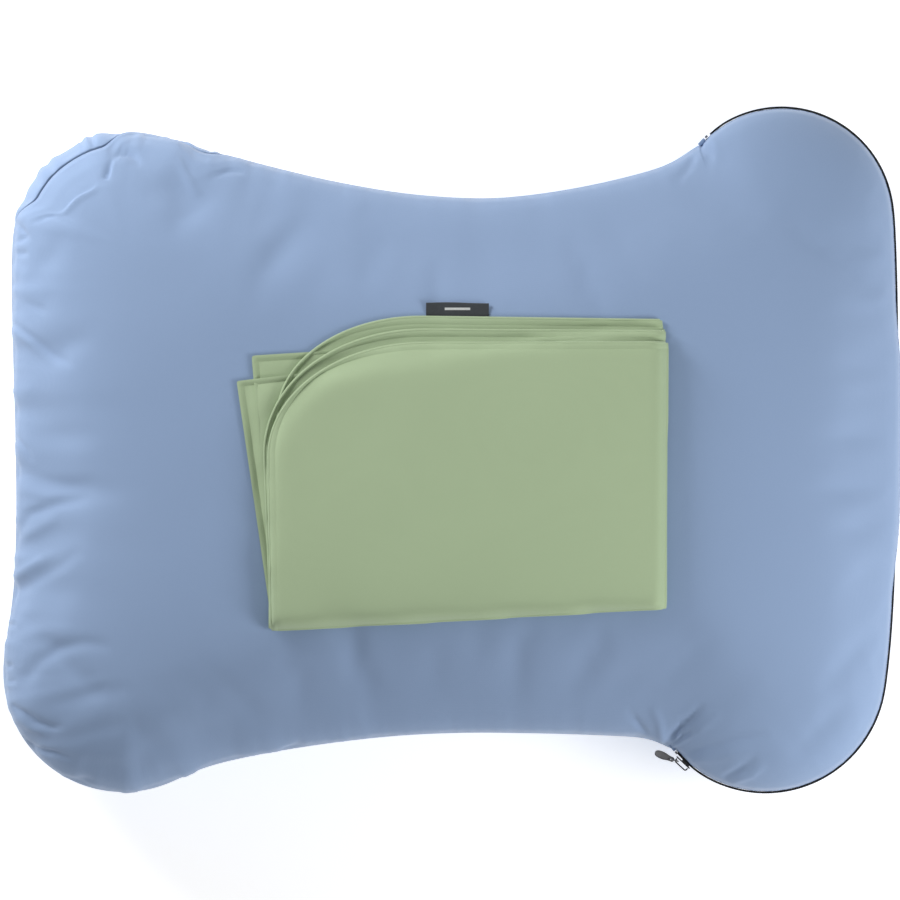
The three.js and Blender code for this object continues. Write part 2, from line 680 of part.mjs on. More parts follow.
// Woven label, folded once and sewn in at the rear edge
function labelTab() {
  const along = backRearRight.clone().sub(backRearMiddle).normalize();
  const outwards = new THREE.Vector2(-along.y, along.x);
  const sewn = backRearMiddle.clone().addScaledVector(along, (labelX - backRearMiddle.x) / along.x)
    .addScaledVector(outwards, clearance);
  const at = (across, out) => sewn.clone().addScaledVector(along, across).addScaledVector(outwards, out);
  const half = labelLength / 2;
  return blanket([
    ...edgePoints(at(-half, 0), at(half, 0), 3),
    at(half, 0),
    ...edgePoints(at(half, labelShows), at(-half, labelShows), 3),
    at(-half, labelShows),
  ], coverGap + labelRise, coverGap + labelRise + labelThickness, 2);
}
add("cover_label", labelTab(), labelCloth);

export default group;
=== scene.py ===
import math
import random

import bpy
import numpy as np
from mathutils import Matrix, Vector
from mathutils.bvhtree import BVHTree
from mathutils.geometry import delaunay_2d_cdt


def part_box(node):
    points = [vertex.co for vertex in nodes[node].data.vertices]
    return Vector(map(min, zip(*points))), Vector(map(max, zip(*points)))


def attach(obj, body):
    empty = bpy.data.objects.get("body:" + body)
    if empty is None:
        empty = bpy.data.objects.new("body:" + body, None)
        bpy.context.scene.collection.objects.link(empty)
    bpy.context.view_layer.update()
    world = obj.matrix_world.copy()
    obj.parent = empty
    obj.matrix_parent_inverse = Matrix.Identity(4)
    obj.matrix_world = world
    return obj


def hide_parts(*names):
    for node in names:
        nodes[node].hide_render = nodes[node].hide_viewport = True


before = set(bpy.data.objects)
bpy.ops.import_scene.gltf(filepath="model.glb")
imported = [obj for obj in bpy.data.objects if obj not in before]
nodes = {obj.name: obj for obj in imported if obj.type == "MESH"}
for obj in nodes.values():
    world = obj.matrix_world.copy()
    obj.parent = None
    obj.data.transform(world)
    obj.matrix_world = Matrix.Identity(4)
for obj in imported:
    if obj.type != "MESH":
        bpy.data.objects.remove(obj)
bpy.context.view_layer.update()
scene = bpy.context.scene
MM = 0.001

# ---------------------------------------------------------------- sizes, in millimetres
ZIP_LINE = 56.0  # height of the zip and the seam
CROWN = 119.0  # top of the pillow
ZIP_OPENING = 5.2  # from the zip line to each panel's folded edge
SEAM_OPENING = 0.3  # from the seam line to each panel
ROLL_GAPE = 0.9  # added to that where the seam is rolled onto the top
GRID = 9.0  # size of the case's cloth grid
MOST_GIVE = 7.0  # how far the cloth may move as it is inflated
ROLL_RISE, SECOND_ROLL_RISE = 23, 13  # how far the rolled seam is pushed up
OVERHANG = 3.4  # how far the top hangs over the zip at the end
LINER_TOP_DEPTH, LINER_BOTTOM_DEPTH, FILL_DEPTH = 8.0, 5.0, 11.5  # inside the case's skin
TOOTH_PITCH = 1.45
COVER_CLOTH = 0.55
LEAF_WIDTH, LEAF_DEPTH = 264.0, 182.0  # the folded cover
LEAF_PITCH = 2.0  # from one leaf up to the next
LEAF_DIP = 1.5  # of a leaf, along the edge of the leaf that lies over it
EDGE_LIFT = 1.1  # of a leaf's free edges
HEM_SETBACK = 4.2  # from a leaf's free edge to its hem's seam
HEM_RADIUS, HEM_RISE = 0.85, 0.9  # of the rolled edge
FRONT_SHEET_FLAT, BACK_SHEET_FLAT = (0.372, 0.530), (0.380, 0.550)  # in metres, unfolded

# ---------------------------------------------------------------- camera
camera_height = 9.0
sensor = 36.0
view_width = 0.6053  # across the picture, at the height of the zip
camera_data = bpy.data.cameras.new("camera")
camera_data.sensor_width = sensor
camera_data.lens = sensor * (camera_height - ZIP_LINE * MM) / view_width
camera = bpy.data.objects.new("camera", camera_data)
scene.collection.objects.link(camera)
camera.location = (0, 0, camera_height)
camera.rotation_euler = (0, 0, 0)
scene.camera = camera


# ---------------------------------------------------------------- meshes and selections
class EditMode:
    """Edit mode for the active piece, for as long as the block lasts."""

    def __enter__(self):
        bpy.ops.object.mode_set(mode="EDIT")

    def __exit__(self, *problem):
        bpy.ops.object.mode_set(mode="OBJECT")


def deselect_all():
    if bpy.context.object and bpy.context.object.mode != "OBJECT":
        bpy.ops.object.mode_set(mode="OBJECT")
    bpy.ops.object.select_all(action="DESELECT")


def pick(piece):
    deselect_all()
    piece.select_set(True)
    bpy.context.view_layer.objects.active = piece
    return piece


def mesh_piece(name, points, faces):
    """A new piece from points in millimetres."""
    mesh = bpy.data.meshes.new(name)
    mesh.from_pydata([tuple(p) for p in np.asarray(points) * MM], [], [tuple(int(i) for i in f) for f in faces])
    mesh.update()
    piece = bpy.data.objects.new(name, mesh)
    scene.collection.objects.link(piece)
    return piece


def points_of(piece):
    flat = np.empty(len(piece.data.vertices) * 3)
    piece.data.vertices.foreach_get("co", flat)
    return flat.reshape(-1, 3) / MM


def place_points(piece, points):
    piece.data.vertices.foreach_set("co", (np.asarray(points) * MM).ravel())
    piece.data.update()


def normals_of(piece):
    flat = np.empty(len(piece.data.vertices) * 3)
    piece.data.vertices.foreach_get("normal", flat)
    return flat.reshape(-1, 3)


def apply_modifier(piece, kind, **settings):
    pick(piece)
    modifier = piece.modifiers.new(kind.lower(), kind)
    for key, value in settings.items():
        setattr(modifier, key, value)
    bpy.ops.object.modifier_apply(modifier=modifier.name)
    return piece


def subdivide_smooth(piece, levels):
    return apply_modifier(piece, "SUBSURF", levels=levels, render_levels=levels)


def smooth_shade(piece, angle=None):
    pick(piece)
    if angle is None:
        bpy.ops.object.shade_smooth()
    else:
        bpy.ops.object.shade_smooth_by_angle(angle=math.radians(angle))
    return piece


def outward(piece):
    pick(piece)
    with EditMode():
        bpy.ops.mesh.select_all(action="SELECT")
        bpy.ops.mesh.normals_make_consistent(inside=False)
    return piece


def select_faces(piece, wanted):
    """Selects only the faces that are wanted, for the next edit."""
    pick(piece)
    with EditMode():
        bpy.ops.mesh.select_mode(type="FACE")
        bpy.ops.mesh.select_all(action="DESELECT")
    for face in piece.data.polygons:
        face.select = wanted(face)


def grid_faces(rows, columns, ring=None):
    """Faces of a grid of points, given row by row. Its rows or its columns may run round in a ring."""
    down = [(i, (i + 1) % rows) for i in range(rows if ring == "rows" else rows - 1)]
    across = [(j, (j + 1) % columns) for j in range(columns if ring == "columns" else columns - 1)]
    return [(i * columns + j, i * columns + right, below * columns + right, below * columns + j)
            for i, below in down for j, right in across]


def template_of(piece):
    """Points and faces of a piece that is made only to be copied, and is removed."""
    template = points_of(piece), [tuple(face.vertices) for face in piece.data.polygons]
    bpy.data.objects.remove(piece)
    return template


def surface_of(piece):
    return BVHTree.FromObject(piece, bpy.context.evaluated_depsgraph_get())


def copy_of_node(name, piece_name):
    """A merged copy of a hard CAD piece, ready to be refined."""
    piece = bpy.data.objects.new(piece_name, nodes[name].data.copy())
    piece.data.materials.clear()
    scene.collection.objects.link(piece)
    pick(piece)
    with EditMode():
        bpy.ops.mesh.select_all(action="SELECT")
        bpy.ops.mesh.customdata_custom_splitnormals_clear()
        bpy.ops.mesh.remove_doubles(threshold=1e-6)
        bpy.ops.mesh.dissolve_limited(angle_limit=math.radians(2))
        bpy.ops.mesh.select_all(action="DESELECT")
    return piece


def rounded(piece, width, segments=2, angle=30):
    apply_modifier(
        piece, "BEVEL", width=width * MM, segments=segments, limit_method="ANGLE",
        angle_limit=math.radians(angle), use_clamp_overlap=True,
    )
    return smooth_shade(piece, 40)


# ---------------------------------------------------------------- outline of the case
def node_points(name):
    mesh = nodes[name].data
    flat = np.empty(len(mesh.vertices) * 3)
    mesh.vertices.foreach_get("co", flat)
    return np.unique(np.round(flat.reshape(-1, 3) / MM, 2), axis=0)


def through(points, share):
    """Points of a smooth closed curve through the given ones, at shares of its count."""
    count = len(points)
    at = share * count
    i = np.floor(at).astype(int)
    t = (at - i)[:, None]
    a, b, c, d = (points[(i + k) % count] for k in (-1, 0, 1, 2))
    return 0.5 * (2 * b + (c - a) * t + (2 * a - 5 * b + 4 * c - d) * t**2 + (3 * b - a - 3 * c + d) * t**3)


def case_outline(count):
    points = node_points("top_panel")
    rim = points[points[:, 2] < points[:, 2].min() + 0.05][:, :2]
    # Each point of the panel's edge has a partner one cloth thickness inside it.
    gaps = np.linalg.norm(rim[:, None] - rim[None], axis=2)
    np.fill_diagonal(gaps, 1e6)
    partner = rim[gaps.argmin(1)]
    outer = rim[np.linalg.norm(rim, axis=1) > np.linalg.norm(partner, axis=1)]
    outer = outer[np.argsort(np.arctan2(outer[:, 1], outer[:, 0]))]
    fine = through(outer, np.arange(6000) / 6000)
    step = np.linalg.norm(np.roll(fine, -1, 0) - fine, axis=1)
    length = np.concatenate([[0], np.cumsum(step)])
    wanted = np.arange(count) / count * length[-1]
    closed = np.vstack([fine, fine[:1]])
    even = np.stack([np.interp(wanted, length, closed[:, k]) for k in (0, 1)], axis=1)
    for _ in range(3):
        even = 0.5 * even + 0.25 * (np.roll(even, 1, 0) + np.roll(even, -1, 0))
    along = np.roll(even, -1, 0) - np.roll(even, 1, 0)
    along /= np.linalg.norm(along, axis=1)[:, None]
    out = np.stack([along[:, 1], -along[:, 0]], axis=1)
    return even + out * 0.5, out, length[-1] / count


RIM = 300
rim, rim_out, rim_step = case_outline(RIM)
perimeter = RIM * rim_step


def rim_place(x, y):
    """Distance round the outline of the rim point nearest to a place in the plan."""
    return float(np.hypot(rim[:, 0] - x, rim[:, 1] - y).argmin()) * rim_step


def rim_gap(along, place):
    """Signed distance round the outline from a place."""
    return (along - place + perimeter / 2) % perimeter - perimeter / 2


def rim_window(along, start, end, soft):
    """1 between two places of the outline, going round counter-clockwise, and 0 elsewhere."""
    middle = start + ((end - start) % perimeter) / 2
    half = ((end - start) % perimeter) / 2
    return np.clip((half + soft / 2 - np.abs(rim_gap(along, middle))) / soft, 0, 1)


def in_roll(along, spread, before=0):
    """1 where the seam is rolled onto the top, or from a distance before that, fading out over a spread."""
    return smooth_step(rim_window(along, ROLL_START - before, ROLL_END, spread) * 1.6)


def out_at(along):
    """Outward direction in the plan at distances round the outline."""
    at = (along % perimeter) / rim_step
    first = np.floor(at).astype(int) % RIM
    share = (at - np.floor(at))[:, None]
    return rim_out[first] * (1 - share) + rim_out[(first + 1) % RIM] * share


def smooth_step(value):
    value = np.clip(value, 0, 1)
    return value * value * (3 - 2 * value)


def near_rim(points):
    """Distance round the outline and distance inside it of points in the plan."""
    along = np.empty(len(points))
    inside = np.empty(len(points))
    after = np.roll(rim, -1, 0)
    edge = after - rim
    size = (edge**2).sum(1)
    for first in range(0, len(points), 4000):
        p = points[first:first + 4000, :2]
        to = p[:, None] - rim[None]
        share = np.clip((to * edge[None]).sum(2) / size, 0, 1)
        away = to - edge[None] * share[..., None]
        distance = np.hypot(away[..., 0], away[..., 1])
        nearest = distance.argmin(1)
        rows = np.arange(len(p))
        side = -(away[rows, nearest] * rim_out[nearest]).sum(1)
        along[first:first + 4000] = (nearest + share[rows, nearest]) * rim_step
        inside[first:first + 4000] = np.where(side >= 0, 1, -1) * distance[rows, nearest]
    return along, inside


def roundness(points):
    """Distance from the outline that changes smoothly everywhere, even between two corners."""
    total = np.zeros(len(points))
    for first in range(0, len(points), 3000):
        p = points[first:first + 3000, :2]
        away = np.hypot(p[:, None, 0] - rim[None, :, 0], p[:, None, 1] - rim[None, :, 1])
        total[first:first + 3000] = (rim_step / np.maximum(away, 0.4 * rim_step) ** 3).sum(1)
    return math.sqrt(2) * total**-0.5


tab_front = node_points("zip_end_tab_front").mean(0)
tab_rear = node_points("zip_end_tab_rear").mean(0)
zip_start = rim_place(*tab_front[:2])
zip_end = rim_place(*tab_rear[:2])
rim_along = np.arange(RIM) * rim_step
zip_share = smooth_step(rim_window(rim_along, zip_start, zip_end, 14))
# The seam is rolled up onto the top at the rear left corner, and again a little further along the rear.
ROLL_START = rim_place(-228, 214)
ROLL_MIDDLE = rim_place(-262, 189)
ROLL_END = rim_place(-283, 166)
SECOND_ROLL = rim_place(-168, 200)
END_FRONT = rim_place(300, -74)  # the top's overhang at the zip end
END_REAR = rim_place(300, 78)
seam_gape = smooth_step(rim_window(rim_along, ROLL_START, ROLL_END, 30) * 1.4)
seam_gape += np.exp(-(rim_gap(rim_along, SECOND_ROLL) / 12) ** 2)


def half_opening(along):
    """From the zip or seam line to each panel, at distances round the outline."""
    share, gape = (
        np.interp(along % perimeter, np.append(rim_along, perimeter), np.append(values, values[0]))
        for values in (zip_share, seam_gape))
    return SEAM_OPENING + (ZIP_OPENING - SEAM_OPENING) * share + ROLL_GAPE * gape


# ---------------------------------------------------------------- the filled case
def cloth_plan():
    """Plan points of one panel: loops beside the rim, then a square grid. Also its faces."""
    insets = (0, 1.8, 4.5, 8.5)
    loops = [rim - rim_out * inset for inset in insets]
    across = np.arange(-34 * GRID, 34.5 * GRID, GRID)  # a little past both ends
    grid = np.array([(x, y) for x in across for y in across if abs(y) < 240])
    _, inside = near_rim(grid)
    grid = grid[inside > insets[-1] + 0.62 * GRID]
    points = np.vstack([*loops, grid])
    edges = []
    for loop in range(len(insets)):
        first = loop * RIM
        edges += [(first + i, first + (i + 1) % RIM) for i in range(RIM)]
    found = delaunay_2d_cdt([Vector(p) for p in points], edges, [], 1, 1e-4)
    places = np.array([(v.x, v.y) for v in found[0]])
    source = [origin[0] if origin else -1 for origin in found[3]]
    order = np.full(len(points), -1)
    for new, old in enumerate(source):
        if old >= 0:
            order[old] = new
    piece = mesh_piece("cloth_plan", np.column_stack([places, np.zeros(len(places))]), found[2])
    pick(piece)
    with EditMode():
        bpy.ops.mesh.select_all(action="SELECT")
        bpy.ops.mesh.tris_convert_to_quads(face_threshold=math.radians(60), shape_threshold=math.radians(60))
        bpy.ops.mesh.normals_make_consistent(inside=False)
    faces = [tuple(face.vertices) for face in piece.data.polygons]
    if piece.data.polygons[0].normal.z < 0:
        faces = [face[::-1] for face in faces]
    bpy.data.objects.remove(piece)
    return places, faces, order[:RIM], order[:RIM * 2]


plan, plan_faces, plan_rim, plan_held = cloth_plan()
plan_along, plan_inside = near_rim(plan)
plan_round = roundness(plan)
plan_round /= plan_round.max()
plan_round[plan_rim] = 0
opening = half_opening(plan_along) * np.exp(-np.maximum(plan_inside, 0) / 30)
top_lift = np.sqrt(1 - (1 - np.clip(plan_round, 0, 1)) ** 2.2)
ground_share = np.clip(plan_round / 0.5, 0, 1)
under_lift = np.sqrt(1 - (1 - ground_share) ** 2.4)
top_height = ZIP_LINE + opening + (CROWN - 4 - ZIP_LINE - opening) * top_lift
under_height = ZIP_LINE - opening - (ZIP_LINE - opening) * under_lift


def sewn_bag(name, top, under):
    """One closed bag of the points of two panels, joined round the rim."""
    count = len(plan)
    faces = list(plan_faces) + [tuple(count + i for i in face[::-1]) for face in plan_faces]
    faces += [(a, count + a, count + b, b) for a, b in zip(plan_rim, np.roll(plan_rim, -1))]
    return outward(mesh_piece(name, np.vstack([top, under]), faces))


def inflate(top, under):
    """Sews the two panels together, inflates them as cloth and gives their points back."""
    count = len(plan)
    bag = sewn_bag("bag", top, under)
    held = bag.vertex_groups.new(name="held")
    pinned = np.concatenate([plan_held, plan_held + count, count + np.flatnonzero(ground_share >= 0.97)])
    held.add([int(i) for i in pinned], 1.0, "REPLACE")
    pick(bag)
    cloth = bag.modifiers.new("cloth", "CLOTH")
    settings = cloth.settings
    settings.quality = 6
    settings.mass = 0.2
    settings.tension_stiffness = 12
    settings.compression_stiffness = 12
    settings.shear_stiffness = 4
    settings.bending_stiffness = 0.4
    settings.use_pressure = True
    settings.uniform_pressure_force = 4
    settings.vertex_group_mass = "held"
    settings.shrink_min = -0.025
    settings.shrink_max = -0.025
    settings.effector_weights.gravity = 0
    cloth.collision_settings.use_collision = False
    cloth.collision_settings.use_self_collision = False
    last = 20
    scene.frame_start, scene.frame_end = 1, last
    cloth.point_cache.frame_start, cloth.point_cache.frame_end = 1, last
    for number in range(1, last + 1):
        scene.frame_set(number)
    bpy.ops.object.modifier_apply(modifier=cloth.name)
    moved = points_of(bag)
    scene.frame_set(1)
    bpy.data.objects.remove(bag)
    return moved


def capped(moved, start, most):
    """Points moved from their start by no more than a limit."""
    shift = moved - start
    size = np.linalg.norm(shift, axis=1)
    most = np.broadcast_to(most, size.shape)
    return start + shift * (most * np.tanh(size / most) / np.maximum(size, 1e-9))[:, None]


top_start = np.column_stack([plan, top_height])
under_start = np.column_stack([plan, under_height])
moved = inflate(top_start, under_start)
most = np.maximum(MOST_GIVE * smooth_step(plan_inside / 45), 0.05)
top_points = capped(moved[:len(plan)], top_start, most)
under_points = capped(moved[len(plan):], under_start, most)
under_points[:, 2] = np.maximum(under_points[:, 2], 0)


# ---------------------------------------------------------------- seam rolled onto the top
PROFILE_REACH = 50  # height above or below the seam that is measured
PROFILE_POWERS = (2, 4, 8)


def profile_terms(height):
    return np.column_stack([(np.abs(height) / PROFILE_REACH) ** k for k in PROFILE_POWERS])


def side_profile():
    """How far the skin lies inside the outline at each height, at the rear left corner."""
    skin = np.vstack([top_points, under_points])
    inset = np.concatenate([plan_inside, plan_inside])
    corner = np.abs(rim_gap(np.concatenate([plan_along, plan_along]), ROLL_MIDDLE)) < 30
    over, inset = skin[corner, 2] - ZIP_LINE, inset[corner]
    heights = np.arange(-46, 54.1, 2.0)
    found = np.zeros_like(heights)
    for side in (over > 0, over < 0):
        near = side & (np.abs(over) < PROFILE_REACH) & (inset < 60)
        share, *_ = np.linalg.lstsq(profile_terms(over[near]), inset[near], rcond=None)
        here = heights > 0 if over[near].mean() > 0 else heights < 0
        found[here] = profile_terms(heights[here]) @ share
    return heights, found


side_height, side_inset = side_profile()


def rolled(points):
    """The fill pushes the seam up onto the top at the rear left corner, and the skin slides round with it."""
    along, inside = near_rim(points)
    over = points[:, 2] - ZIP_LINE
    main = in_roll(along, 46)
    second = np.exp(-(rim_gap(along, SECOND_ROLL) / 16) ** 2)
    rise = (ROLL_RISE * main + SECOND_ROLL_RISE * second) * smooth_step((95 - inside) / 45)
    reach = np.where(over > 0, 54.0, 50.0)
    fade = np.where(np.abs(over) < reach, (1 - (over / reach) ** 2) ** 2, 0)
    slid = over + rise * fade
    inward = np.interp(slid, side_height, side_inset) - np.interp(over, side_height, side_inset)
    moved = points.copy()
    moved[:, :2] -= out_at(along) * inward[:, None]
    moved[:, 2] = ZIP_LINE + slid
    return moved


# ---------------------------------------------------------------- wrinkles
def ripple(along, pitch, wander, seed):
    """A wave round the outline of uneven pitch, from -1 to 1."""
    shuffle = random.Random(seed)
    count = int(perimeter / pitch)
    crests = np.array([shuffle.gauss(0, wander) for _ in range(count)])
    sizes = np.array([shuffle.uniform(0.35, 1) for _ in range(count)])
    at = (along % perimeter) / perimeter * count
    lean = np.interp(at, np.arange(count + 1), np.append(crests, crests[0]))
    size = np.interp(at, np.arange(count + 1), np.append(sizes, sizes[0]))
    return np.cos(2 * math.pi * (at + lean)) * size


# Soft folds and creases of the top: a line of plan points, half width, depth (a ridge is negative).
CREASES = [
    # rear left corner
    ([(-276, 164.5), (-262, 172.7), (-246, 183), (-240, 191)], 4.5, -1.6),
    ([(-229, 212), (-222, 208), (-212, 199), (-208, 190)], 4.0, 2.6),
    ([(-231, 208), (-234, 203), (-237, 197)], 4.5, 2.8),
    ([(-277, 163), (-282, 151.5)], 3.0, 1.1),
    ([(-291, 152), (-283, 143)], 2.5, 1.0),
    ([(-293, 139.5), (-282, 143.5)], 2.5, 1.0),
    ([(-292, 131.5), (-283, 132.5)], 3.5, 1.2),
    ([(-157.7, 188.7), (-148.5, 189), (-137, 186)], 3.0, 1.4),
    ([(-180, 196), (-172, 188), (-166, 176)], 5.0, -1.3),
    # left end
    ([(-292, 84), (-281, 76), (-266, 63), (-252, 57)], 4.0, 1.3),
    ([(-290, 79), (-279, 70), (-266, 58)], 5.0, -1.1),
    ([(-284, 99), (-270, 92)], 4.0, 0.8),
    ([(-291, 8), (-284, 1), (-281, -9)], 3.0, 0.9),
    ([(-290, -14), (-275, -20), (-255, -24), (-235, -22)], 8.0, 1.4),
    ([(-290, -25), (-270, -31), (-245, -30)], 6.0, -0.9),
    ([(-291, -55), (-281, -43), (-262, -36), (-240, -32)], 6.5, 2.2),
    ([(-291, -62), (-279, -55), (-262, -45)], 6.0, -1.6),
    ([(-297, -98), (-280, -88), (-262, -78), (-246, -66)], 7.0, 2.0),
    ([(-296, -88), (-280, -78), (-264, -68)], 5.0, -1.4),
    # front left corner
    ([(-299, -118), (-290, -117)], 2.5, 1.2),
    ([(-299, -146), (-293, -144)], 2.5, 1.0),
    ([(-298, -156), (-291, -155)], 2.5, 1.0),
    ([(-286, -155), (-276, -142), (-262, -133), (-245, -129), (-225, -131)], 7.0, 2.2),
    ([(-293, -128), (-275, -122), (-250, -120)], 8.0, -1.2),
    ([(-272, -172), (-258, -168), (-240, -163), (-212, -160)], 9.0, 1.5),
    ([(-292, -172), (-284, -177), (-276, -183), (-268, -186), (-258, -185)], 3.0, 1.8),
    ([(-290, -180), (-281, -187), (-268, -192)], 4.0, -1.1),
    ([(-284, -198), (-276, -202), (-266, -203), (-252, -207)], 3.0, 1.7),
    ([(-270, -193), (-254, -193), (-232, -186), (-205, -180)], 9.0, 1.2),
    ([(-266, -218), (-252, -222), (-238, -222)], 4.0, 1.3),
    ([(-250, -208), (-230, -212), (-205, -210)], 8.0, 0.9),
    ([(-118, -206), (-105, -200), (-98, -196)], 4.0, 1.2),
    # beside the parked slider
    ([(131, -190), (124, -181), (118, -174)], 3.0, 1.4),
    ([(143, -198), (141, -185), (136, -172)], 4.0, -1.2),
    ([(146, -197), (152, -188), (162, -179), (170, -170)], 3.6, 2.4),
    ([(148, -199), (157, -192), (168, -186)], 2.6, 1.8),
    ([(152, -197), (166, -188), (182, -176)], 3.4, -1.3),
    ([(160, -203), (176, -198), (196, -193), (214, -190)], 4.5, 1.5),
    ([(163, -209), (182, -206), (204, -200)], 4.0, -1.0),
    ([(185, -219), (196, -213), (206, -205)], 3.6, 1.5),
    ([(190, -223), (202, -218), (212, -209)], 3.6, -1.0),
    # rear right, where the zip ends
    ([(166, 204), (160, 190), (150, 178)], 5.0, 1.2),
    ([(176, 212), (180, 198), (176, 184)], 5.0, -0.9),
]


def crease_depth(points):
    """Depth of all the creases at points of the plan."""
    depth = np.zeros(len(points))
    for line, width, size in CREASES:
        line = np.array(line, float)
        low, high = line.min(0) - 3 * width, line.max(0) + 3 * width
        close = np.flatnonzero(((points[:, :2] > low) & (points[:, :2] < high)).all(1))
        if not len(close):
            continue
        p = points[close, :2]
        best = np.full(len(p), 1e9)
        place = np.zeros(len(p))
        steps = np.linalg.norm(np.diff(line, axis=0), axis=1)
        total = steps.sum()
        done = 0.0
        for a, b, step in zip(line[:-1], line[1:], steps):
            share = np.clip(((p - a) @ (b - a)) / step**2, 0, 1)
            away = np.linalg.norm(p - a - share[:, None] * (b - a), axis=1)
            nearer = away < best
            best[nearer] = away[nearer]
            place[nearer] = (done + share[nearer] * step) / total
            done += step
        taper = np.sin(np.clip(0.12 + place * 0.88, 0, 1) * math.pi) ** 0.7
        depth[close] += (0.8 if width > 5 else 1.15) * size * taper * np.exp(-(best / (0.62 * width)) ** 2)
    return depth


def wrinkled(piece, upwards):
    """Moves the points of a subdivided panel along their normals."""
    points = points_of(piece)
    normals = normals_of(piece)
    along, inside = near_rim(points)
    from_rim = np.hypot(np.maximum(inside, 0), (points[:, 2] - ZIP_LINE) * 0.9)
    zipped = (half_opening(along) - SEAM_OPENING) / (ZIP_OPENING - SEAM_OPENING)
    left = smooth_step((-points[:, 0] - 60) / 150)
    # puckers where the seam gathers the cloth, in three pitches, each reaching further in than the last
    fine = ripple(along, 8.5, 0.16, 3) * np.exp(-from_rim / 9)
    middle = ripple(along, 21, 0.2, 5) * np.exp(-from_rim / 22)
    broad = ripple(along, 47, 0.2, 8) * np.exp(-(from_rim / 55) ** 2)
    pinned = smooth_step(from_rim / 4.5)
    calm = 1 - 0.9 * in_roll(along, 60) * upwards
    fine, middle = fine * calm, middle * calm
    lift = pinned * (0.42 * fine * (1 - 0.6 * zipped) + 0.75 * middle * (1 - 0.75 * zipped) * (0.35 + 0.65 * left))
    lift += pinned * 1.5 * broad * (1 - 0.8 * zipped) * (0.25 + 0.75 * left)
    # slow swells of the fill
    swell = np.sin(points[:, 0] / 37 + 1.3 * np.sin(points[:, 1] / 53)) * np.sin(points[:, 1] / 41 + 0.7)
    swell += 0.6 * np.sin(points[:, 0] / 19 - points[:, 1] / 31) * np.sin(points[:, 1] / 23 + points[:, 0] / 67)
    fade = smooth_step(from_rim / 40)
    if upwards:
        lift += 0.35 * swell * fade - crease_depth(points) * pinned
        overhang = smooth_step(rim_window(along, END_FRONT, END_REAR, 60)) * pinned * np.exp(-(from_rim / 24) ** 2)
        points[:, :2] += out_at(along) * (OVERHANG * overhang)[:, None]
    else:
        pleats = ripple(along, 15, 0.3, 12) * np.exp(-(from_rim / 26) ** 2)
        lift += pinned * pleats * 1.3 * in_roll(along, 60, before=70)
        lift *= smooth_step(points[:, 2] / 25)
    points += normals * lift[:, None]
    points[:, 2] = np.maximum(points[:, 2], 0)
    place_points(piece, points)


def turned_edge(piece, upwards, turn, tuck):
    """Folds the panel's edge in at the rim, as it is sewn."""
    pick(piece)
    with EditMode():
        bpy.ops.mesh.select_all(action="DESELECT")
        bpy.ops.mesh.select_non_manifold(extend=False, use_wire=False, use_boundary=True, use_multi_face=False,
                                         use_non_contiguous=False, use_verts=False)
    for inward, rise in ((turn * 0.4, -0.25), (turn, 0.25), (tuck, 0.9)):
        pick(piece)
        with EditMode():
            bpy.ops.mesh.extrude_region_move()
        moving = np.array([v.select for v in piece.data.vertices])
        points = points_of(piece)
        chosen = points[moving]
        along, _ = near_rim(chosen)
        chosen[:, :2] -= out_at(along) * inward
        chosen[:, 2] += upwards * rise
        points[moving] = chosen
        place_points(piece, points)


def case_panel(name, points, upwards):
    faces = plan_faces if upwards else [face[::-1] for face in plan_faces]
    panel = subdivide_smooth(mesh_piece(name, points, faces), 2)
    wrinkled(panel, upwards)
    turned_edge(panel, 1 if upwards else -1, 0.8, 3.0)
    place_points(panel, rolled(points_of(panel)))
    return smooth_shade(panel)


top_panel = case_panel("case_top_panel", top_points, True)
under_panel = case_panel("case_bottom_panel", under_points, False)
top_surface = surface_of(top_panel)


# ---------------------------------------------------------------- shader maths
class Wire:
    """A value in a material: expressions on it add Math nodes."""

    def __init__(self, nodes_, socket):
        self.nodes = nodes_
        self.socket = socket

    def maths(self, operation, *others):
        node = self.nodes.new("ShaderNodeMath")
        node.operation = operation
        for slot, value in zip(node.inputs, (self, *others)):
            connect(value, slot)
        return Wire(self.nodes, node.outputs[0])

    def __add__(self, other):
        return self.maths("ADD", other)

    def __sub__(self, other):
        return self.maths("SUBTRACT", other)

    def __mul__(self, other):
        return self.maths("MULTIPLY", other)

    def __truediv__(self, other):
        return self.maths("DIVIDE", other)

    def __rsub__(self, other):
        return (self * -1.0) + other

    __radd__ = __add__
    __rmul__ = __mul__

    def sine(self):
        return self.maths("SINE")

    def clamped(self):
        node = self.nodes.new("ShaderNodeClamp")
        connect(self, node.inputs[0])
        return Wire(self.nodes, node.outputs[0])


def connect(value, slot):
    if isinstance(value, Wire):
        slot.id_data.links.new(value.socket, slot)
    elif value is not None:
        slot.default_value = value


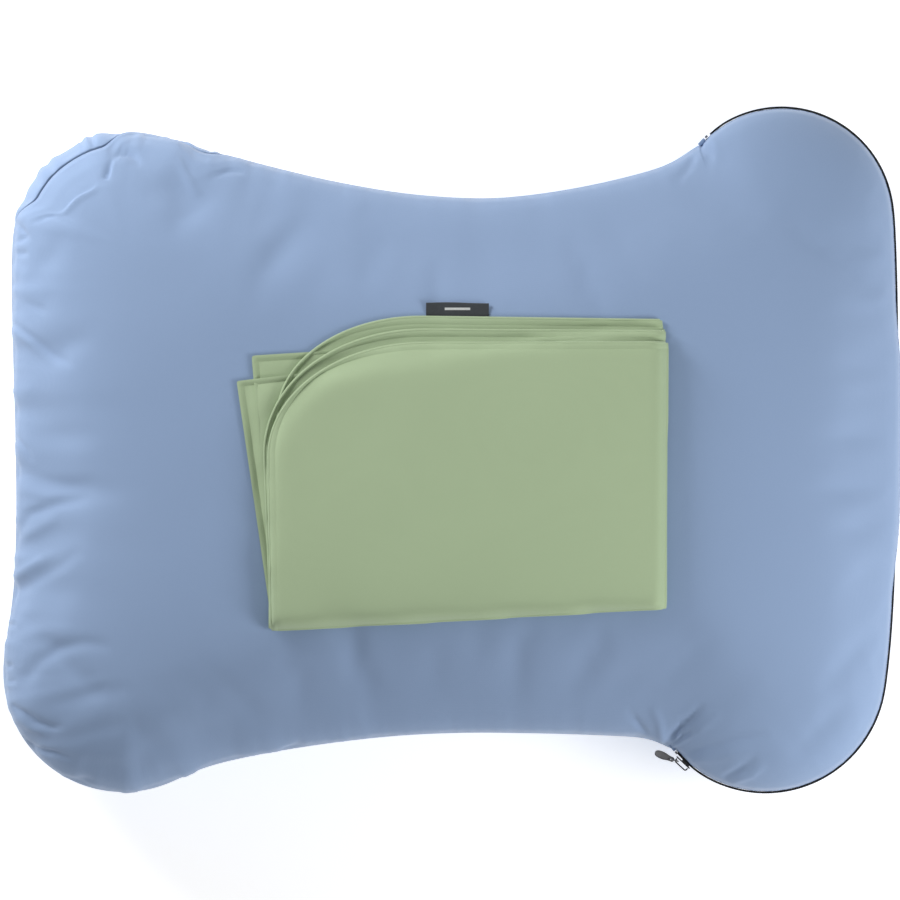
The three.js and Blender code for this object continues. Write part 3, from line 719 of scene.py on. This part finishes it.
class Finish:
    """One material, with its shader and the few nodes that the cloths and metals share."""

    def __init__(self, name, **shader):
        self.material = bpy.data.materials.new(name)
        self.material.use_nodes = True
        self.nodes = self.material.node_tree.nodes
        self.shader = self.nodes["Principled BSDF"]
        for key, value in shader.items():
            self.shader.inputs[key.replace("_", " ")].default_value = value

    def node(self, kind, settings=None, output=0, **values):
        node = self.nodes.new(kind)
        for key, value in (settings or {}).items():
            if key == "stops":
                ramp = node.color_ramp.elements
                while len(ramp) < len(value):
                    ramp.new(0.5)
                for element, (place, colour) in zip(ramp, value):
                    element.position = place
                    element.color = colour
            else:
                setattr(node, key, value)
        for key, value in values.items():
            name = key.replace("_", " ")
            slot = node.inputs[int(name[1:])] if name[0] == "n" and name[1:].isdigit() else node.inputs[name]
            connect(value, slot)
        return Wire(self.nodes, node.outputs[output])

    def place(self):
        return self.node("ShaderNodeTexCoord", output=3)

    def axes(self, where):
        split = self.nodes.new("ShaderNodeSeparateXYZ")
        connect(where, split.inputs[0])
        return [Wire(self.nodes, split.outputs[k]) for k in range(3)]

    def noise(self, where, scale, detail=3.0, roughness=0.5):
        return self.node("ShaderNodeTexNoise", Vector=where, Scale=scale, Detail=detail, Roughness=roughness)

    def colours(self, factor, *colours):
        stops = [(k / (len(colours) - 1), (*colour, 1)) for k, colour in enumerate(colours)]
        return self.node("ShaderNodeValToRGB", {"stops": stops}, Fac=factor)

    def bump(self, height, distance, strength=1.0):
        return self.node("ShaderNodeBump", Height=height, Distance=distance, Strength=strength)

    def wear(self, **inputs):
        for key, value in inputs.items():
            connect(value, self.shader.inputs[key.replace("_", " ")])
        return self


def woven(finish, where, pitch):
    """Height of a plain weave of a given thread pitch in metres, on faces that lie any way."""
    x, y, z = (axis * (2 * math.pi / pitch) for axis in finish.axes(where))
    warp, weft, rise = x.sine(), y.sine(), z.sine()
    return warp * weft + weft * rise + rise * warp


def cloth_finish(name, dark, middle, light, pitch, roughness, sheen, mottle=0.5, depth=0.00006):
    finish = Finish(name, Roughness=roughness, Sheen_Weight=sheen, Sheen_Roughness=0.45, Specular_IOR_Level=0.25)
    where = finish.place()
    weave = woven(finish, where, pitch)
    slubs = finish.noise(where, 900.0, 2.0)
    cloud = finish.noise(where, 7.0, 3.0)
    blend = (cloud * mottle + slubs * 0.3 + weave * 0.05 + (0.35 - mottle / 2)).clamped()
    height = weave * 0.35 + slubs * 0.5
    finish.wear(
        Base_Color=finish.colours(blend, dark, middle, light),
        Roughness=(cloud * 0.08 + (roughness - 0.04)),
        Normal=finish.bump(height, depth, 0.6),
    )
    return finish


# Each has its dark, middle and light colour, its thread pitch in metres, its roughness and its sheen.
case_cloth = cloth_finish("blue_polyester", (0.256, 0.357, 0.550), (0.278, 0.384, 0.582), (0.302, 0.410, 0.612),
                          0.0006, 0.78, 0.25)
cover_cloth = cloth_finish("sage_polyester", (0.385, 0.495, 0.302), (0.41, 0.52, 0.325), (0.435, 0.545, 0.346),
                           0.0006, 0.82, 0.3)
liner_cloth = cloth_finish("off_white_nonwoven", (0.70, 0.68, 0.62), (0.78, 0.76, 0.70), (0.84, 0.82, 0.77),
                           0.0011, 0.9, 0.1, depth=0.0001)
tape_cloth = cloth_finish("black_zip_tape", (0.006, 0.006, 0.008), (0.010, 0.010, 0.012), (0.016, 0.016, 0.018),
                          0.0009, 0.75, 0.1, depth=0.0001)
blue_thread = Finish("blue_thread", Base_Color=(0.25, 0.355, 0.56, 1), Roughness=0.6, Sheen_Weight=0.2)
blue_thread.wear(Normal=blue_thread.bump(woven(blue_thread, blue_thread.place(), 0.0004), 0.00005, 0.5))


def paint(piece, finish):
    piece.data.materials.clear()
    piece.data.materials.append(finish.material)
    return piece


def shown(piece, body, finish, slot, *stands_for):
    """A finished piece on its body, in place of the CAD nodes that it stands for. The slot argument is not used.
    """
    paint(piece, finish)
    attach(piece, body)
    if stands_for:
        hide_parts(*stands_for)
    return piece


shown(top_panel, "pillow", case_cloth, "outer_cloth", "top_panel")
shown(under_panel, "pillow", case_cloth, "outer_cloth", "bottom_panel")


# ---------------------------------------------------------------- liner bag and fill
def inner_layer(name, points, faces, depth):
    """A smooth layer of the bag inside the case, a depth inside its skin."""
    layer = subdivide_smooth(mesh_piece(name, points, faces), 1)
    deeper = points_of(layer) - normals_of(layer) * depth
    deeper[:, 2] = np.clip(deeper[:, 2], depth, None)
    place_points(layer, rolled(deeper))
    return smooth_shade(layer)


under_faces = [face[::-1] for face in plan_faces]
liner_top = shown(inner_layer("liner_bag_top", top_points, plan_faces, LINER_TOP_DEPTH),
                  "pillow", liner_cloth, "liner_cloth", "liner_top")
liner_bottom = shown(inner_layer("liner_bag_bottom", under_points, under_faces, LINER_BOTTOM_DEPTH),
                     "pillow", liner_cloth, "liner_cloth", "liner_bottom")

foam_fill = subdivide_smooth(sewn_bag("foam_fill_core", top_points, under_points), 1)
lumps = points_of(foam_fill)
bumps = np.sin(lumps[:, 0] / 6.1) * np.sin(lumps[:, 1] / 5.3 + lumps[:, 2] / 7) + np.sin(lumps[:, 1] / 9.7)
lumps -= normals_of(foam_fill) * (FILL_DEPTH + 0.7 * bumps)[:, None]
lumps[:, 2] = np.clip(lumps[:, 2], 8.0, None)
place_points(foam_fill, rolled(lumps))
smooth_shade(foam_fill)

foam_crumb = Finish("foam_crumb", Roughness=0.95)
where = foam_crumb.place()
crumbs = foam_crumb.node("ShaderNodeTexVoronoi", Vector=where, Scale=110.0)
foam_crumb.wear(
    Base_Color=foam_crumb.colours(foam_crumb.noise(where, 60.0), (0.62, 0.55, 0.36), (0.80, 0.73, 0.54)),
    Normal=foam_crumb.bump(crumbs, 0.002, 0.8),
)
shown(foam_fill, "pillow", foam_crumb, "foam", "foam_fill")


# ---------------------------------------------------------------- zip
def hard_finish(name, tints, scuffs, grit=None, **shader):
    """Scales of its colour noise and of its scuffs, the least roughness and its spread, and a fine grit."""
    finish = Finish(name, **shader)
    where = finish.place()
    tint_scale, dark, light = tints
    scuff_scale, spread, least = scuffs
    finish.wear(Base_Color=finish.colours(finish.noise(where, tint_scale), dark, light),
                Roughness=finish.noise(where, scuff_scale) * spread + least)
    if grit:
        grit_scale, distance, strength = grit
        finish.wear(Normal=finish.bump(finish.noise(where, grit_scale), distance, strength))
    return finish


enamel = hard_finish("black_enamel", (500.0, (0.006, 0.006, 0.007), (0.013, 0.013, 0.014)), (1500.0, 0.25, 0.22),
                     (2500.0, 0.00004, 0.5), Metallic=0.0, Coat_Weight=0.5, Coat_Roughness=0.2)
nickel = hard_finish("dark_nickel", (400.0, (0.20, 0.20, 0.21), (0.34, 0.34, 0.35)), (1800.0, 0.3, 0.2),
                     (3000.0, 0.00003, 0.4), Metallic=1.0)
nylon = hard_finish("black_nylon", (300.0, (0.005, 0.005, 0.006), (0.012, 0.012, 0.013)), (900.0, 0.2, 0.32))

for tape in ("zip_tape_upper", "zip_tape_lower"):
    paint(nodes[tape], tape_cloth)


def one_stitch(length, radius):
    """A stitch of thread, lying along x: a rounded rod, thinner at its ends."""
    deselect_all()
    bpy.ops.mesh.primitive_cylinder_add(vertices=6, radius=radius * MM, depth=length * MM, end_fill_type="NGON")
    stitch = bpy.context.object
    select_faces(stitch, lambda face: abs(face.normal.z) > 0.9)
    with EditMode():
        bpy.ops.mesh.inset(thickness=radius * 0.35 * MM, depth=radius * 0.45 * MM)
    points, faces = template_of(stitch)
    return points[:, [2, 0, 1]], faces


def one_tooth():
    """A tooth of the coil: x out of the zip, y along it and z up, its head just past the zip line."""
    deselect_all()
    bpy.ops.mesh.primitive_cube_add(size=1 * MM)
    with EditMode():
        bpy.ops.transform.resize(value=(1.45, 0.62, 2.75))
        bpy.ops.mesh.bevel(offset=0.17 * MM, segments=1, affect="EDGES")
    points, faces = template_of(bpy.context.object)
    head = points[:, 2] < -0.9
    points[head, 1] *= 1.28
    return points + np.array([0.85, 0, 0.85]), faces


def copies(name, template, frames):
    """One piece of many copies of a template, each placed by its origin and its three axes."""
    points, faces = template
    placed = np.concatenate([origin + points @ np.array(axes) for origin, axes in frames])
    many = [tuple(first + k for k in face) for first in range(0, len(points) * len(frames), len(points))
            for face in faces]
    return outward(mesh_piece(name, placed, many))


def rim_at(along):
    """Point of the outline and its outward direction at distances round it."""
    share = (np.asarray(along) % perimeter) / perimeter
    place = through(rim, share)
    out = through(rim_out, share)
    return place, out / np.linalg.norm(out, axis=1)[:, None]


stop_front = node_points("zip_parking_stop_upper").mean(0)
stop_rear = node_points("zip_end_stop").mean(0)
beside_stop = 2.2  # from a stop's middle to the nearest tooth
coil_start = rim_place(*stop_front[:2]) + beside_stop
coil_end = rim_place(*stop_rear[:2]) - beside_stop
teeth_along = np.arange(coil_start, coil_end, TOOTH_PITCH)


def coil(name, upwards, shift):
    place, out = rim_at(teeth_along + shift)
    frames = []
    for p, o in zip(place, out):
        up = np.array([0, 0, 1.0 if upwards else -1.0])
        out3 = np.array([o[0], o[1], 0])
        frames.append((np.array([p[0], p[1], ZIP_LINE]), (out3, np.cross(up, out3), up)))
    return smooth_shade(copies(name, one_tooth(), frames), 35)


shown(coil("coil_teeth_upper", True, 0.0), "pillow", nylon, "zip_coil", "zip_coil_upper")
shown(coil("coil_teeth_lower", False, TOOTH_PITCH / 2), "pillow", nylon, "zip_coil", "zip_coil_lower")


def zip_edge_stitches(name, panel, upwards, length=2.4, radius=0.2, pitch=3.1):
    """The line of stitches that holds the zip tape to a panel, sunk a little into its cloth."""
    surface = surface_of(panel)
    place, out = rim_at(np.arange(zip_start + 6, zip_end - 4, pitch))
    height = ZIP_LINE + (1 if upwards else -1) * (ZIP_OPENING + 2.0)
    places = np.column_stack([place, np.full(len(place), height)])
    directions = np.column_stack([-out[:, 1], out[:, 0], np.zeros(len(out))])
    frames = []
    for place, direction in zip(places, directions):
        hit = surface.find_nearest(Vector(place * MM))
        normal = np.array(hit[1])
        along = direction - normal * (direction @ normal)
        along /= np.linalg.norm(along)
        frames.append((np.array(hit[0]) / MM + normal * radius * 0.45, (along, np.cross(normal, along), normal)))
    shown(smooth_shade(copies(name, one_stitch(length, radius), frames)), "pillow", blue_thread, "outer_cloth")


zip_edge_stitches("top_edge_stitches", top_panel, True)
zip_edge_stitches("bottom_edge_stitches", under_panel, False)


def seam_allowance():
    """The two panels' edges turned in together behind the seam, a narrow double strip."""
    place, out = rim_at(np.arange(zip_end + 2, zip_start - 2 + perimeter, 5.0))
    section = [(-1.6, 0.35), (-4.0, 0.8), (-7.5, 0.9), (-7.6, 0), (-7.5, -0.9), (-4.0, -0.8), (-1.6, -0.35)]
    points = np.concatenate([
        np.column_stack([place + out * inward, np.full(len(place), ZIP_LINE + up)]) for inward, up in section])
    count = len(place)
    faces = grid_faces(len(section), count, ring="rows")
    faces.append(tuple(k * count for k in range(len(section))))
    faces.append(tuple(k * count + count - 1 for k in reversed(range(len(section)))))
    strip = mesh_piece("seam_allowance", points, faces)
    place_points(strip, rolled(points_of(strip)))
    return smooth_shade(outward(strip), 40)


shown(seam_allowance(), "pillow", case_cloth, "outer_cloth", "bound_seam")

for name in ("zip_parking_stop_upper", "zip_parking_stop_lower", "zip_end_stop"):
    shown(rounded(copy_of_node(name, name + "_crimp"), 0.25, 2), "pillow", nickel, "pull_metal", name)
for name in ("zip_end_tab_front", "zip_end_tab_rear"):
    tab = rounded(copy_of_node(name, name.replace("zip_end_tab", "cloth_tab")), 0.7, 3)
    shown(tab, "pillow", case_cloth, "outer_cloth", name)

# ---------------------------------------------------------------- slider and pull
for name, piece_name, radius in (("slider_body", "slider_casting", 0.3), ("slider_bridge", "slider_crown", 0.28)):
    shown(rounded(copy_of_node(name, piece_name), radius, 3), "slider", enamel, "slider_paint", name)
wire_ring = smooth_shade(subdivide_smooth(copy_of_node("pull_ring", "wire_ring"), 1))
shown(wire_ring, "pull_ring", nickel, "pull_metal", "pull_ring")


def pressed_leaf():
    """The flat pull: rounded edges and a shallow pressed hollow in each face."""
    leaf = copy_of_node("pull_leaf", "pressed_leaf")
    for up in (1, -1):
        select_faces(leaf, lambda face: face.normal.z * up > 0.9)
        with EditMode():
            bpy.ops.mesh.inset(thickness=0.5 * MM, use_even_offset=False)
            bpy.ops.mesh.inset(thickness=0.12 * MM, depth=-0.18 * MM, use_even_offset=False)
    return rounded(leaf, 0.14, 2, 25)


shown(pressed_leaf(), "pull_leaf", nickel, "pull_metal", "pull_leaf")

# ---------------------------------------------------------------- spare cover
# A leaf is a quarter of a folded sheet. Each sheet is folded along its right fold, then along its front fold.
FOLDED_CORNER = np.array((143.0, -105.0))  # front right, where the folds meet
COVER_SHEETS = {
    # Side +1 is the upper pair of the sheet's leaves, and leaf +1 is the outer one of each pair.
    # The front left corners go by side, and the rear right ones by leaf. The last corner, at the rear left,
    # has its place and how far its rounding runs along the rear edge and down the left one.
    "upper": {
        "front_left": {1: (-119, -120), -1: (-121, -118.5)},
        "rear_right": {1: (144.5, 71.5), -1: (143.5, 79)},
        "corner": {(1, 1): (-122, 71, 106, 76), (1, -1): (-127, 81, 112, 86),
                   (-1, -1): (-119, 66, 106, 76), (-1, 1): (-117, 62, 104, 76)},
    },
    "lower": {
        "front_left": {1: (-118.5, -119), -1: (-117, -119.8)},
        "rear_right": {1: (141, 86.5), -1: (143, 80.5)},
        "corner": {(1, 1): (-113, 90, 96, 66), (1, -1): (-142.5, 46, 1.5, 1.5),
                   (-1, -1): (-132.5, 63, 2, 2), (-1, 1): (-130, 40, 8, 8)},
    },
}


def leaf_point(sheet, side, leaf, u, v):
    """Plan place of a leaf at shares of its width from the right fold and of its height from the front fold."""
    shape = COVER_SHEETS[sheet]
    left_x, left_y, run, drop = shape["corner"][side, leaf]
    right = np.array(shape["rear_right"][leaf], float)
    left = np.array(shape["front_left"][side], float)
    corner = np.array((left_x, left_y), float)
    width = np.linalg.norm(corner - right)
    height = np.linalg.norm(corner - left)
    u_run, v_drop = run / width, drop / height
    x = np.clip((u - 1 + u_run) / u_run, 0, 1)
    y = np.clip((v - 1 + v_drop) / v_drop, 0, 1)
    both = (x > 0) & (y > 0)
    u = np.where(both, 1 - u_run + u_run * x * np.sqrt(1 - y * y / 2), u)
    v = np.where(both, 1 - v_drop + v_drop * y * np.sqrt(1 - x * x / 2), v)
    u, v = u[..., None], v[..., None]
    return ((1 - u) * (1 - v) * FOLDED_CORNER + u * (1 - v) * left + (1 - u) * v * right + u * v * corner)


def leaf_outline(sheet, side, leaf):
    """Points round a leaf in the plan."""
    share = np.linspace(0, 1, 60)
    one, nought = np.ones_like(share), np.zeros_like(share)
    return np.concatenate([
        leaf_point(sheet, side, leaf, share, nought), leaf_point(sheet, side, leaf, one, share),
        leaf_point(sheet, side, leaf, share[::-1], one), leaf_point(sheet, side, leaf, nought, share[::-1])])


FIELD = 3.0  # step of the height field under the cover
field_x = np.arange(-165, 171, FIELD)
field_y = np.arange(-144, 117, FIELD)
field_points = np.stack(np.meshgrid(field_x, field_y, indexing="ij"), axis=-1)


def softened(field, spread):
    """A height field blurred over a spread in millimetres."""
    reach = int(3 * spread / FIELD) + 1
    weights = np.exp(-0.5 * (np.arange(-reach, reach + 1) * FIELD / spread) ** 2)
    weights /= weights.sum()
    padded = np.pad(field, reach, mode="edge")
    rows = sum(w * padded[k:k + field.shape[0], :] for k, w in enumerate(weights))
    return sum(w * rows[:, k:k + field.shape[1]] for k, w in enumerate(weights))


def covered(outline):
    """1 where a point of the height field lies inside an outline."""
    x, y = field_points[..., 0].ravel(), field_points[..., 1].ravel()
    inside = np.zeros(len(x), bool)
    for a, b in zip(outline, np.roll(outline, -1, 0)):
        crosses = (a[1] > y) != (b[1] > y)
        with np.errstate(divide="ignore", invalid="ignore"):
            meets = (b[0] - a[0]) * (y - a[1]) / (b[1] - a[1]) + a[0]
        inside ^= crosses & (x < meets)
    return inside.reshape(field_points.shape[:2]).astype(float)


def field_at(field, places):
    """A height field read at places in the plan."""
    x = np.clip((places[..., 0] - field_x[0]) / FIELD, 0, len(field_x) - 1.001)
    y = np.clip((places[..., 1] - field_y[0]) / FIELD, 0, len(field_y) - 1.001)
    i, j = x.astype(int), y.astype(int)
    s, t = x - i, y - j
    return ((1 - s) * (1 - t) * field[i, j] + s * (1 - t) * field[i + 1, j]
            + (1 - s) * t * field[i, j + 1] + s * t * field[i + 1, j + 1])


def skin_height():
    """Height of the case's skin under the cover, with its small wrinkles bridged."""
    flat = field_points.reshape(-1, 2)
    found = np.empty(len(flat))
    for k, (x, y) in enumerate(flat):
        hit = top_surface.ray_cast(Vector((x * MM, y * MM, 0.3)), Vector((0, 0, -1)))
        found[k] = hit[0].z / MM if hit[0] is not None else 60.0
    found = found.reshape(field_points.shape[:2])
    soft = softened(found, 9)
    return np.maximum(soft, found) * 0.5 + soft * 0.5 + softened(np.maximum(found - soft, 0), 4)


skin = skin_height() + 0.55
PILE = ((-1, 1), (-1, -1), (1, -1), (1, 1))  # side and leaf, from the lowest of a sheet's leaves to its highest
LEAF_ORDER = [(sheet, *key) for sheet in ("lower", "upper") for key in PILE]
# Each of these leaves dips a little along the edge of the leaf that lies over it.
LIES_UNDER = {("upper", 1, -1): ("upper", 1, 1), ("lower", 1, 1): ("upper", 1, -1),
              ("lower", 1, -1): ("lower", 1, 1)}
leaf_heights = {}
piled = np.zeros_like(skin)
for number, key in enumerate(LEAF_ORDER):
    seed = number * 1.7
    waves = np.sin(field_points[..., 0] / 34 + seed) * np.sin(field_points[..., 1] / 29 - 2 * seed)
    waves += 0.5 * np.sin(field_points[..., 0] / 15 - field_points[..., 1] / 21 + 3 * seed)
    leaf_heights[key] = skin + piled + 0.22 * waves
    if key in LIES_UNDER:
        over = softened(covered(leaf_outline(*LIES_UNDER[key])), 3.0)
        dip = LEAF_DIP * 4 * over * (1 - over) * smooth_step(piled / (2.5 * LEAF_PITCH))
        leaf_heights[key] = np.maximum(leaf_heights[key] - dip, skin + 0.3)
    piled = piled + LEAF_PITCH * softened(covered(leaf_outline(*key)), 2.6)


def fold_steps(reach, edge_steps):
    """(share of the leaf, turn round the fold) along one direction of a sheet."""
    inner = [0.9, 2.5, 5.5]  # millimetres from the fold, and the edge steps are from the free edge
    middle = list(np.linspace(10, reach - 10, max(2, int((reach - 20) / 6))))
    leaf = [s / reach for s in inner + middle] + [1 - e / reach for e in edge_steps]
    turns = np.linspace(-90, 90, 9)
    return [(s, -90.0) for s in reversed(leaf)] + [(0.0, t) for t in turns] + [(s, 90.0) for s in leaf]


def outer_or_inner(of_leaf, share):
    """The upper and the lower pair's value, at a share of the way from the inner to the outer leaf."""
    return (of_leaf[side, -1] + (of_leaf[side, 1] - of_leaf[side, -1]) * share for side in (1, -1))


def cloth_sheet(name, points, faces, thickness):
    sheet = subdivide_smooth(mesh_piece(name, points, faces), 1)
    apply_modifier(sheet, "SOLIDIFY", thickness=thickness * MM, offset=0.0)
    return smooth_shade(outward(sheet), 50)


def folded_sheet(name, sheet):
    edge_steps = (6.5, 4.6, HEM_SETBACK, 3.8, 1.6, 0.5, 0.0)
    down = fold_steps(LEAF_DEPTH, edge_steps)
    across = fold_steps(LEAF_WIDTH, edge_steps)
    u = np.array([share for share, _ in across])
    turn_u = np.radians([turn for _, turn in across])
    share_u = (1 + np.sin(turn_u)) / 2
    fold_bulge = 1.15  # of a fold, against a half circle
    points = np.zeros((len(down), len(across), 3))
    for i, (v, turn_v) in enumerate(down):
        share_v = (1 + math.sin(math.radians(turn_v))) / 2
        ends = {key: leaf_point(sheet, *key, u, np.full_like(u, v)) for key in PILE}
        upper, lower = outer_or_inner(ends, share_v)
        place = lower + (upper - lower) * share_u[:, None]
        high = {key: field_at(leaf_heights[(sheet, *key)], place) for key in PILE}
        upper_z, lower_z = outer_or_inner(high, share_v)
        z = lower_z + (upper_z - lower_z) * share_u
        front_bulge = np.abs(high[1, 1] - high[1, -1]) / 2 * math.cos(math.radians(turn_v)) * fold_bulge
        right_bulge = (upper_z - lower_z) / 2 * np.cos(turn_u) * fold_bulge
        place = place + np.outer(front_bulge, (0.03, -1.0)) + np.outer(right_bulge, (1.0, -0.03))
        points[i] = np.column_stack([place, z])
        from_edge = np.minimum((1 - u) * LEAF_WIDTH, (1 - v) * LEAF_DEPTH)
        seam = np.exp(-((from_edge - HEM_SETBACK) / 0.5) ** 2)
        points[i, :, 2] += EDGE_LIFT * smooth_step((4.6 - from_edge) / 3) - 0.3 * seam
    return cloth_sheet(name, points.reshape(-1, 3), grid_faces(len(down), len(across)), COVER_CLOTH)


cover_upper = shown(folded_sheet("folded_front_sheet", "upper"),
                    "cover", cover_cloth, "cover_cloth", "cover_front_panel")
cover_lower = shown(folded_sheet("folded_back_sheet", "lower"),
                    "cover", cover_cloth, "cover_cloth", "cover_back_panel")


def edge_roll(name, sheet, side, leaf):
    """The rolled hem round the free edges of a leaf."""
    share = np.linspace(0.004, 1, 150)
    run = np.concatenate([
        leaf_point(sheet, side, leaf, share, np.ones_like(share)),
        leaf_point(sheet, side, leaf, np.ones(149), share[::-1][1:])])
    height = field_at(leaf_heights[sheet, side, leaf], run) + HEM_RISE
    line = np.column_stack([run, height])
    tangent = np.gradient(line, axis=0)
    tangent /= np.linalg.norm(tangent, axis=1)[:, None]
    across = np.cross(tangent, (0, 0, 1.0))
    across /= np.linalg.norm(across, axis=1)[:, None]
    up = np.cross(across, tangent)
    sides = 8
    rings = []
    for k in range(sides):
        turn = 2 * math.pi * k / sides
        rings.append(line + across * math.cos(turn) * HEM_RADIUS * 1.25 + up * math.sin(turn) * HEM_RADIUS * 0.95)
    points = np.stack(rings, axis=1).reshape(-1, 3)
    faces = grid_faces(len(line), sides, ring="columns")
    faces.append(tuple(range(sides)))
    faces.append(tuple((len(line) - 1) * sides + k for k in reversed(range(sides))))
    return smooth_shade(outward(mesh_piece(name, points, faces)), 60)


hems = [edge_roll("hem_roll_top_leaf", "upper", 1, 1), edge_roll("hem_roll_second_leaf", "upper", 1, -1),
        edge_roll("hem_roll_rear_leaf", "lower", 1, 1)]
shown(hems[0], "cover", cover_cloth, "cover_cloth", "cover_hem")
for hem in hems[1:]:
    shown(hem, "cover", cover_cloth, "cover_cloth")

# ---------------------------------------------------------------- label
label_low, label_high = (np.array(corner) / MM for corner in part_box("cover_label"))


def folded_label():
    """A woven ribbon folded once: its fold stands out from the cover's rear edge."""
    width = label_high[0] - label_low[0]
    edge, out = label_low[1], label_high[1]
    tuck = 9.0  # how far the ribbon goes in between the leaves
    drop = 1.4  # below the middle of the leaf that it is sewn to
    below = [(edge - tuck, -0.42), (edge, -0.45), (out - 4, -0.5), (out - 1.2, -0.46), (out - 0.3, -0.3)]
    loops = below + [(out, 0.0)] + [(y, -lift) for y, lift in reversed(below)]
    steps = np.linspace(0, 1, 22)
    centre = leaf_heights["lower", 1, 1]
    points = []
    for y, lift in loops:
        for s in steps:
            x = label_low[0] + width * s
            z = field_at(centre, np.array((x, min(y, edge + 2)))) - drop + lift
            if y > edge:  # the part that stands out waves and twists a little
                points.append((x, y + 0.35 * math.sin(5 * s), z + (y - edge) * 0.03 * (1 - 2 * s)))
            else:
                points.append((x, y, z))
    return cloth_sheet("woven_label", points, grid_faces(len(loops), len(steps)), 0.35)


label_cloth = Finish("charcoal_ribbon", Roughness=0.7, Sheen_Weight=0.15)
where = label_cloth.place()
x, y = label_cloth.axes(where)[:2]
ribs = (x * (2 * math.pi / 0.0005)).sine() * (y * (2 * math.pi / 0.0004)).sine()
dash_middle = (label_low[0] + label_high[0]) / 2 * MM
dash_line = (label_high[1] - 4.0) * MM


def bar(value, centre, half, edge):
    """1 within a half width of a centre, with a soft edge."""
    away = (value - centre).maths("ABSOLUTE")
    return ((half - away) / edge + 0.5).clamped()


dash_half_length, dash_half_width, dash_edge = 0.0085, 0.0008, 0.0003
dash = bar(x, dash_middle, dash_half_length, dash_edge) * bar(y, dash_line, dash_half_width, dash_edge)
ground = label_cloth.colours(label_cloth.noise(where, 500.0) * 0.6 + ribs * 0.2 + 0.2,
                             (0.020, 0.024, 0.030), (0.045, 0.052, 0.060))
label_cloth.wear(
    Base_Color=label_cloth.node("ShaderNodeMix", {"data_type": "RGBA"}, output=2, n0=dash, n6=ground,
                                n7=(0.62, 0.64, 0.63, 1)),
    Normal=label_cloth.bump(ribs + dash * 0.6, 0.00006, 0.7),
)
label = shown(folded_label(), "cover", label_cloth, "label_cloth", "cover_label")

ROUNDED_CORNERS = 0.95  # a sheet's area, as a share of its width times its length
for piece, size, extras in ((cover_upper, FRONT_SHEET_FLAT, [*hems[:2], label]),
                            (cover_lower, BACK_SHEET_FLAT, [hems[2]])):
    size[0] * size[1] * ROUNDED_CORNERS

# ---------------------------------------------------------------- floor and light
deselect_all()
bpy.ops.mesh.primitive_plane_add(size=60, location=(0, 0, -0.0004))
floor = bpy.context.object
floor.name = "floor"
floor_paint = Finish("white_floor", Base_Color=(0.97, 0.97, 0.97, 1), Roughness=0.9, Specular_IOR_Level=0.0,
                     Emission_Color=(1, 1, 1, 1), Emission_Strength=0.45)
paint(floor, floor_paint)

scene.world = scene.world or bpy.data.worlds.new("studio")
scene.world.use_nodes = True
backdrop = scene.world.node_tree.nodes["Background"]
backdrop.inputs["Color"].default_value = (1.0, 1.0, 1.0, 1)
backdrop.inputs["Strength"].default_value = 0.33


def softbox(name, place, aim, size, power):
    light = bpy.data.lights.new(name, "AREA")
    light.shape = "RECTANGLE"
    light.size = light.size_y = size
    light.energy = power
    lamp = bpy.data.objects.new(name, light)
    scene.collection.objects.link(lamp)
    lamp.location = place
    lamp.rotation_euler = (Vector(aim) - Vector(place)).to_track_quat("-Z", "Y").to_euler()


softbox("rear_left_softbox", (-1.02, 0.88, 0.6), (-0.1, 0, 0.05), 0.6, 16)
softbox("right_softbox", (0.92, -0.36, 0.7), (0.1, 0, 0.05), 0.5, 6.8)
scene.view_settings.view_transform = "Standard"
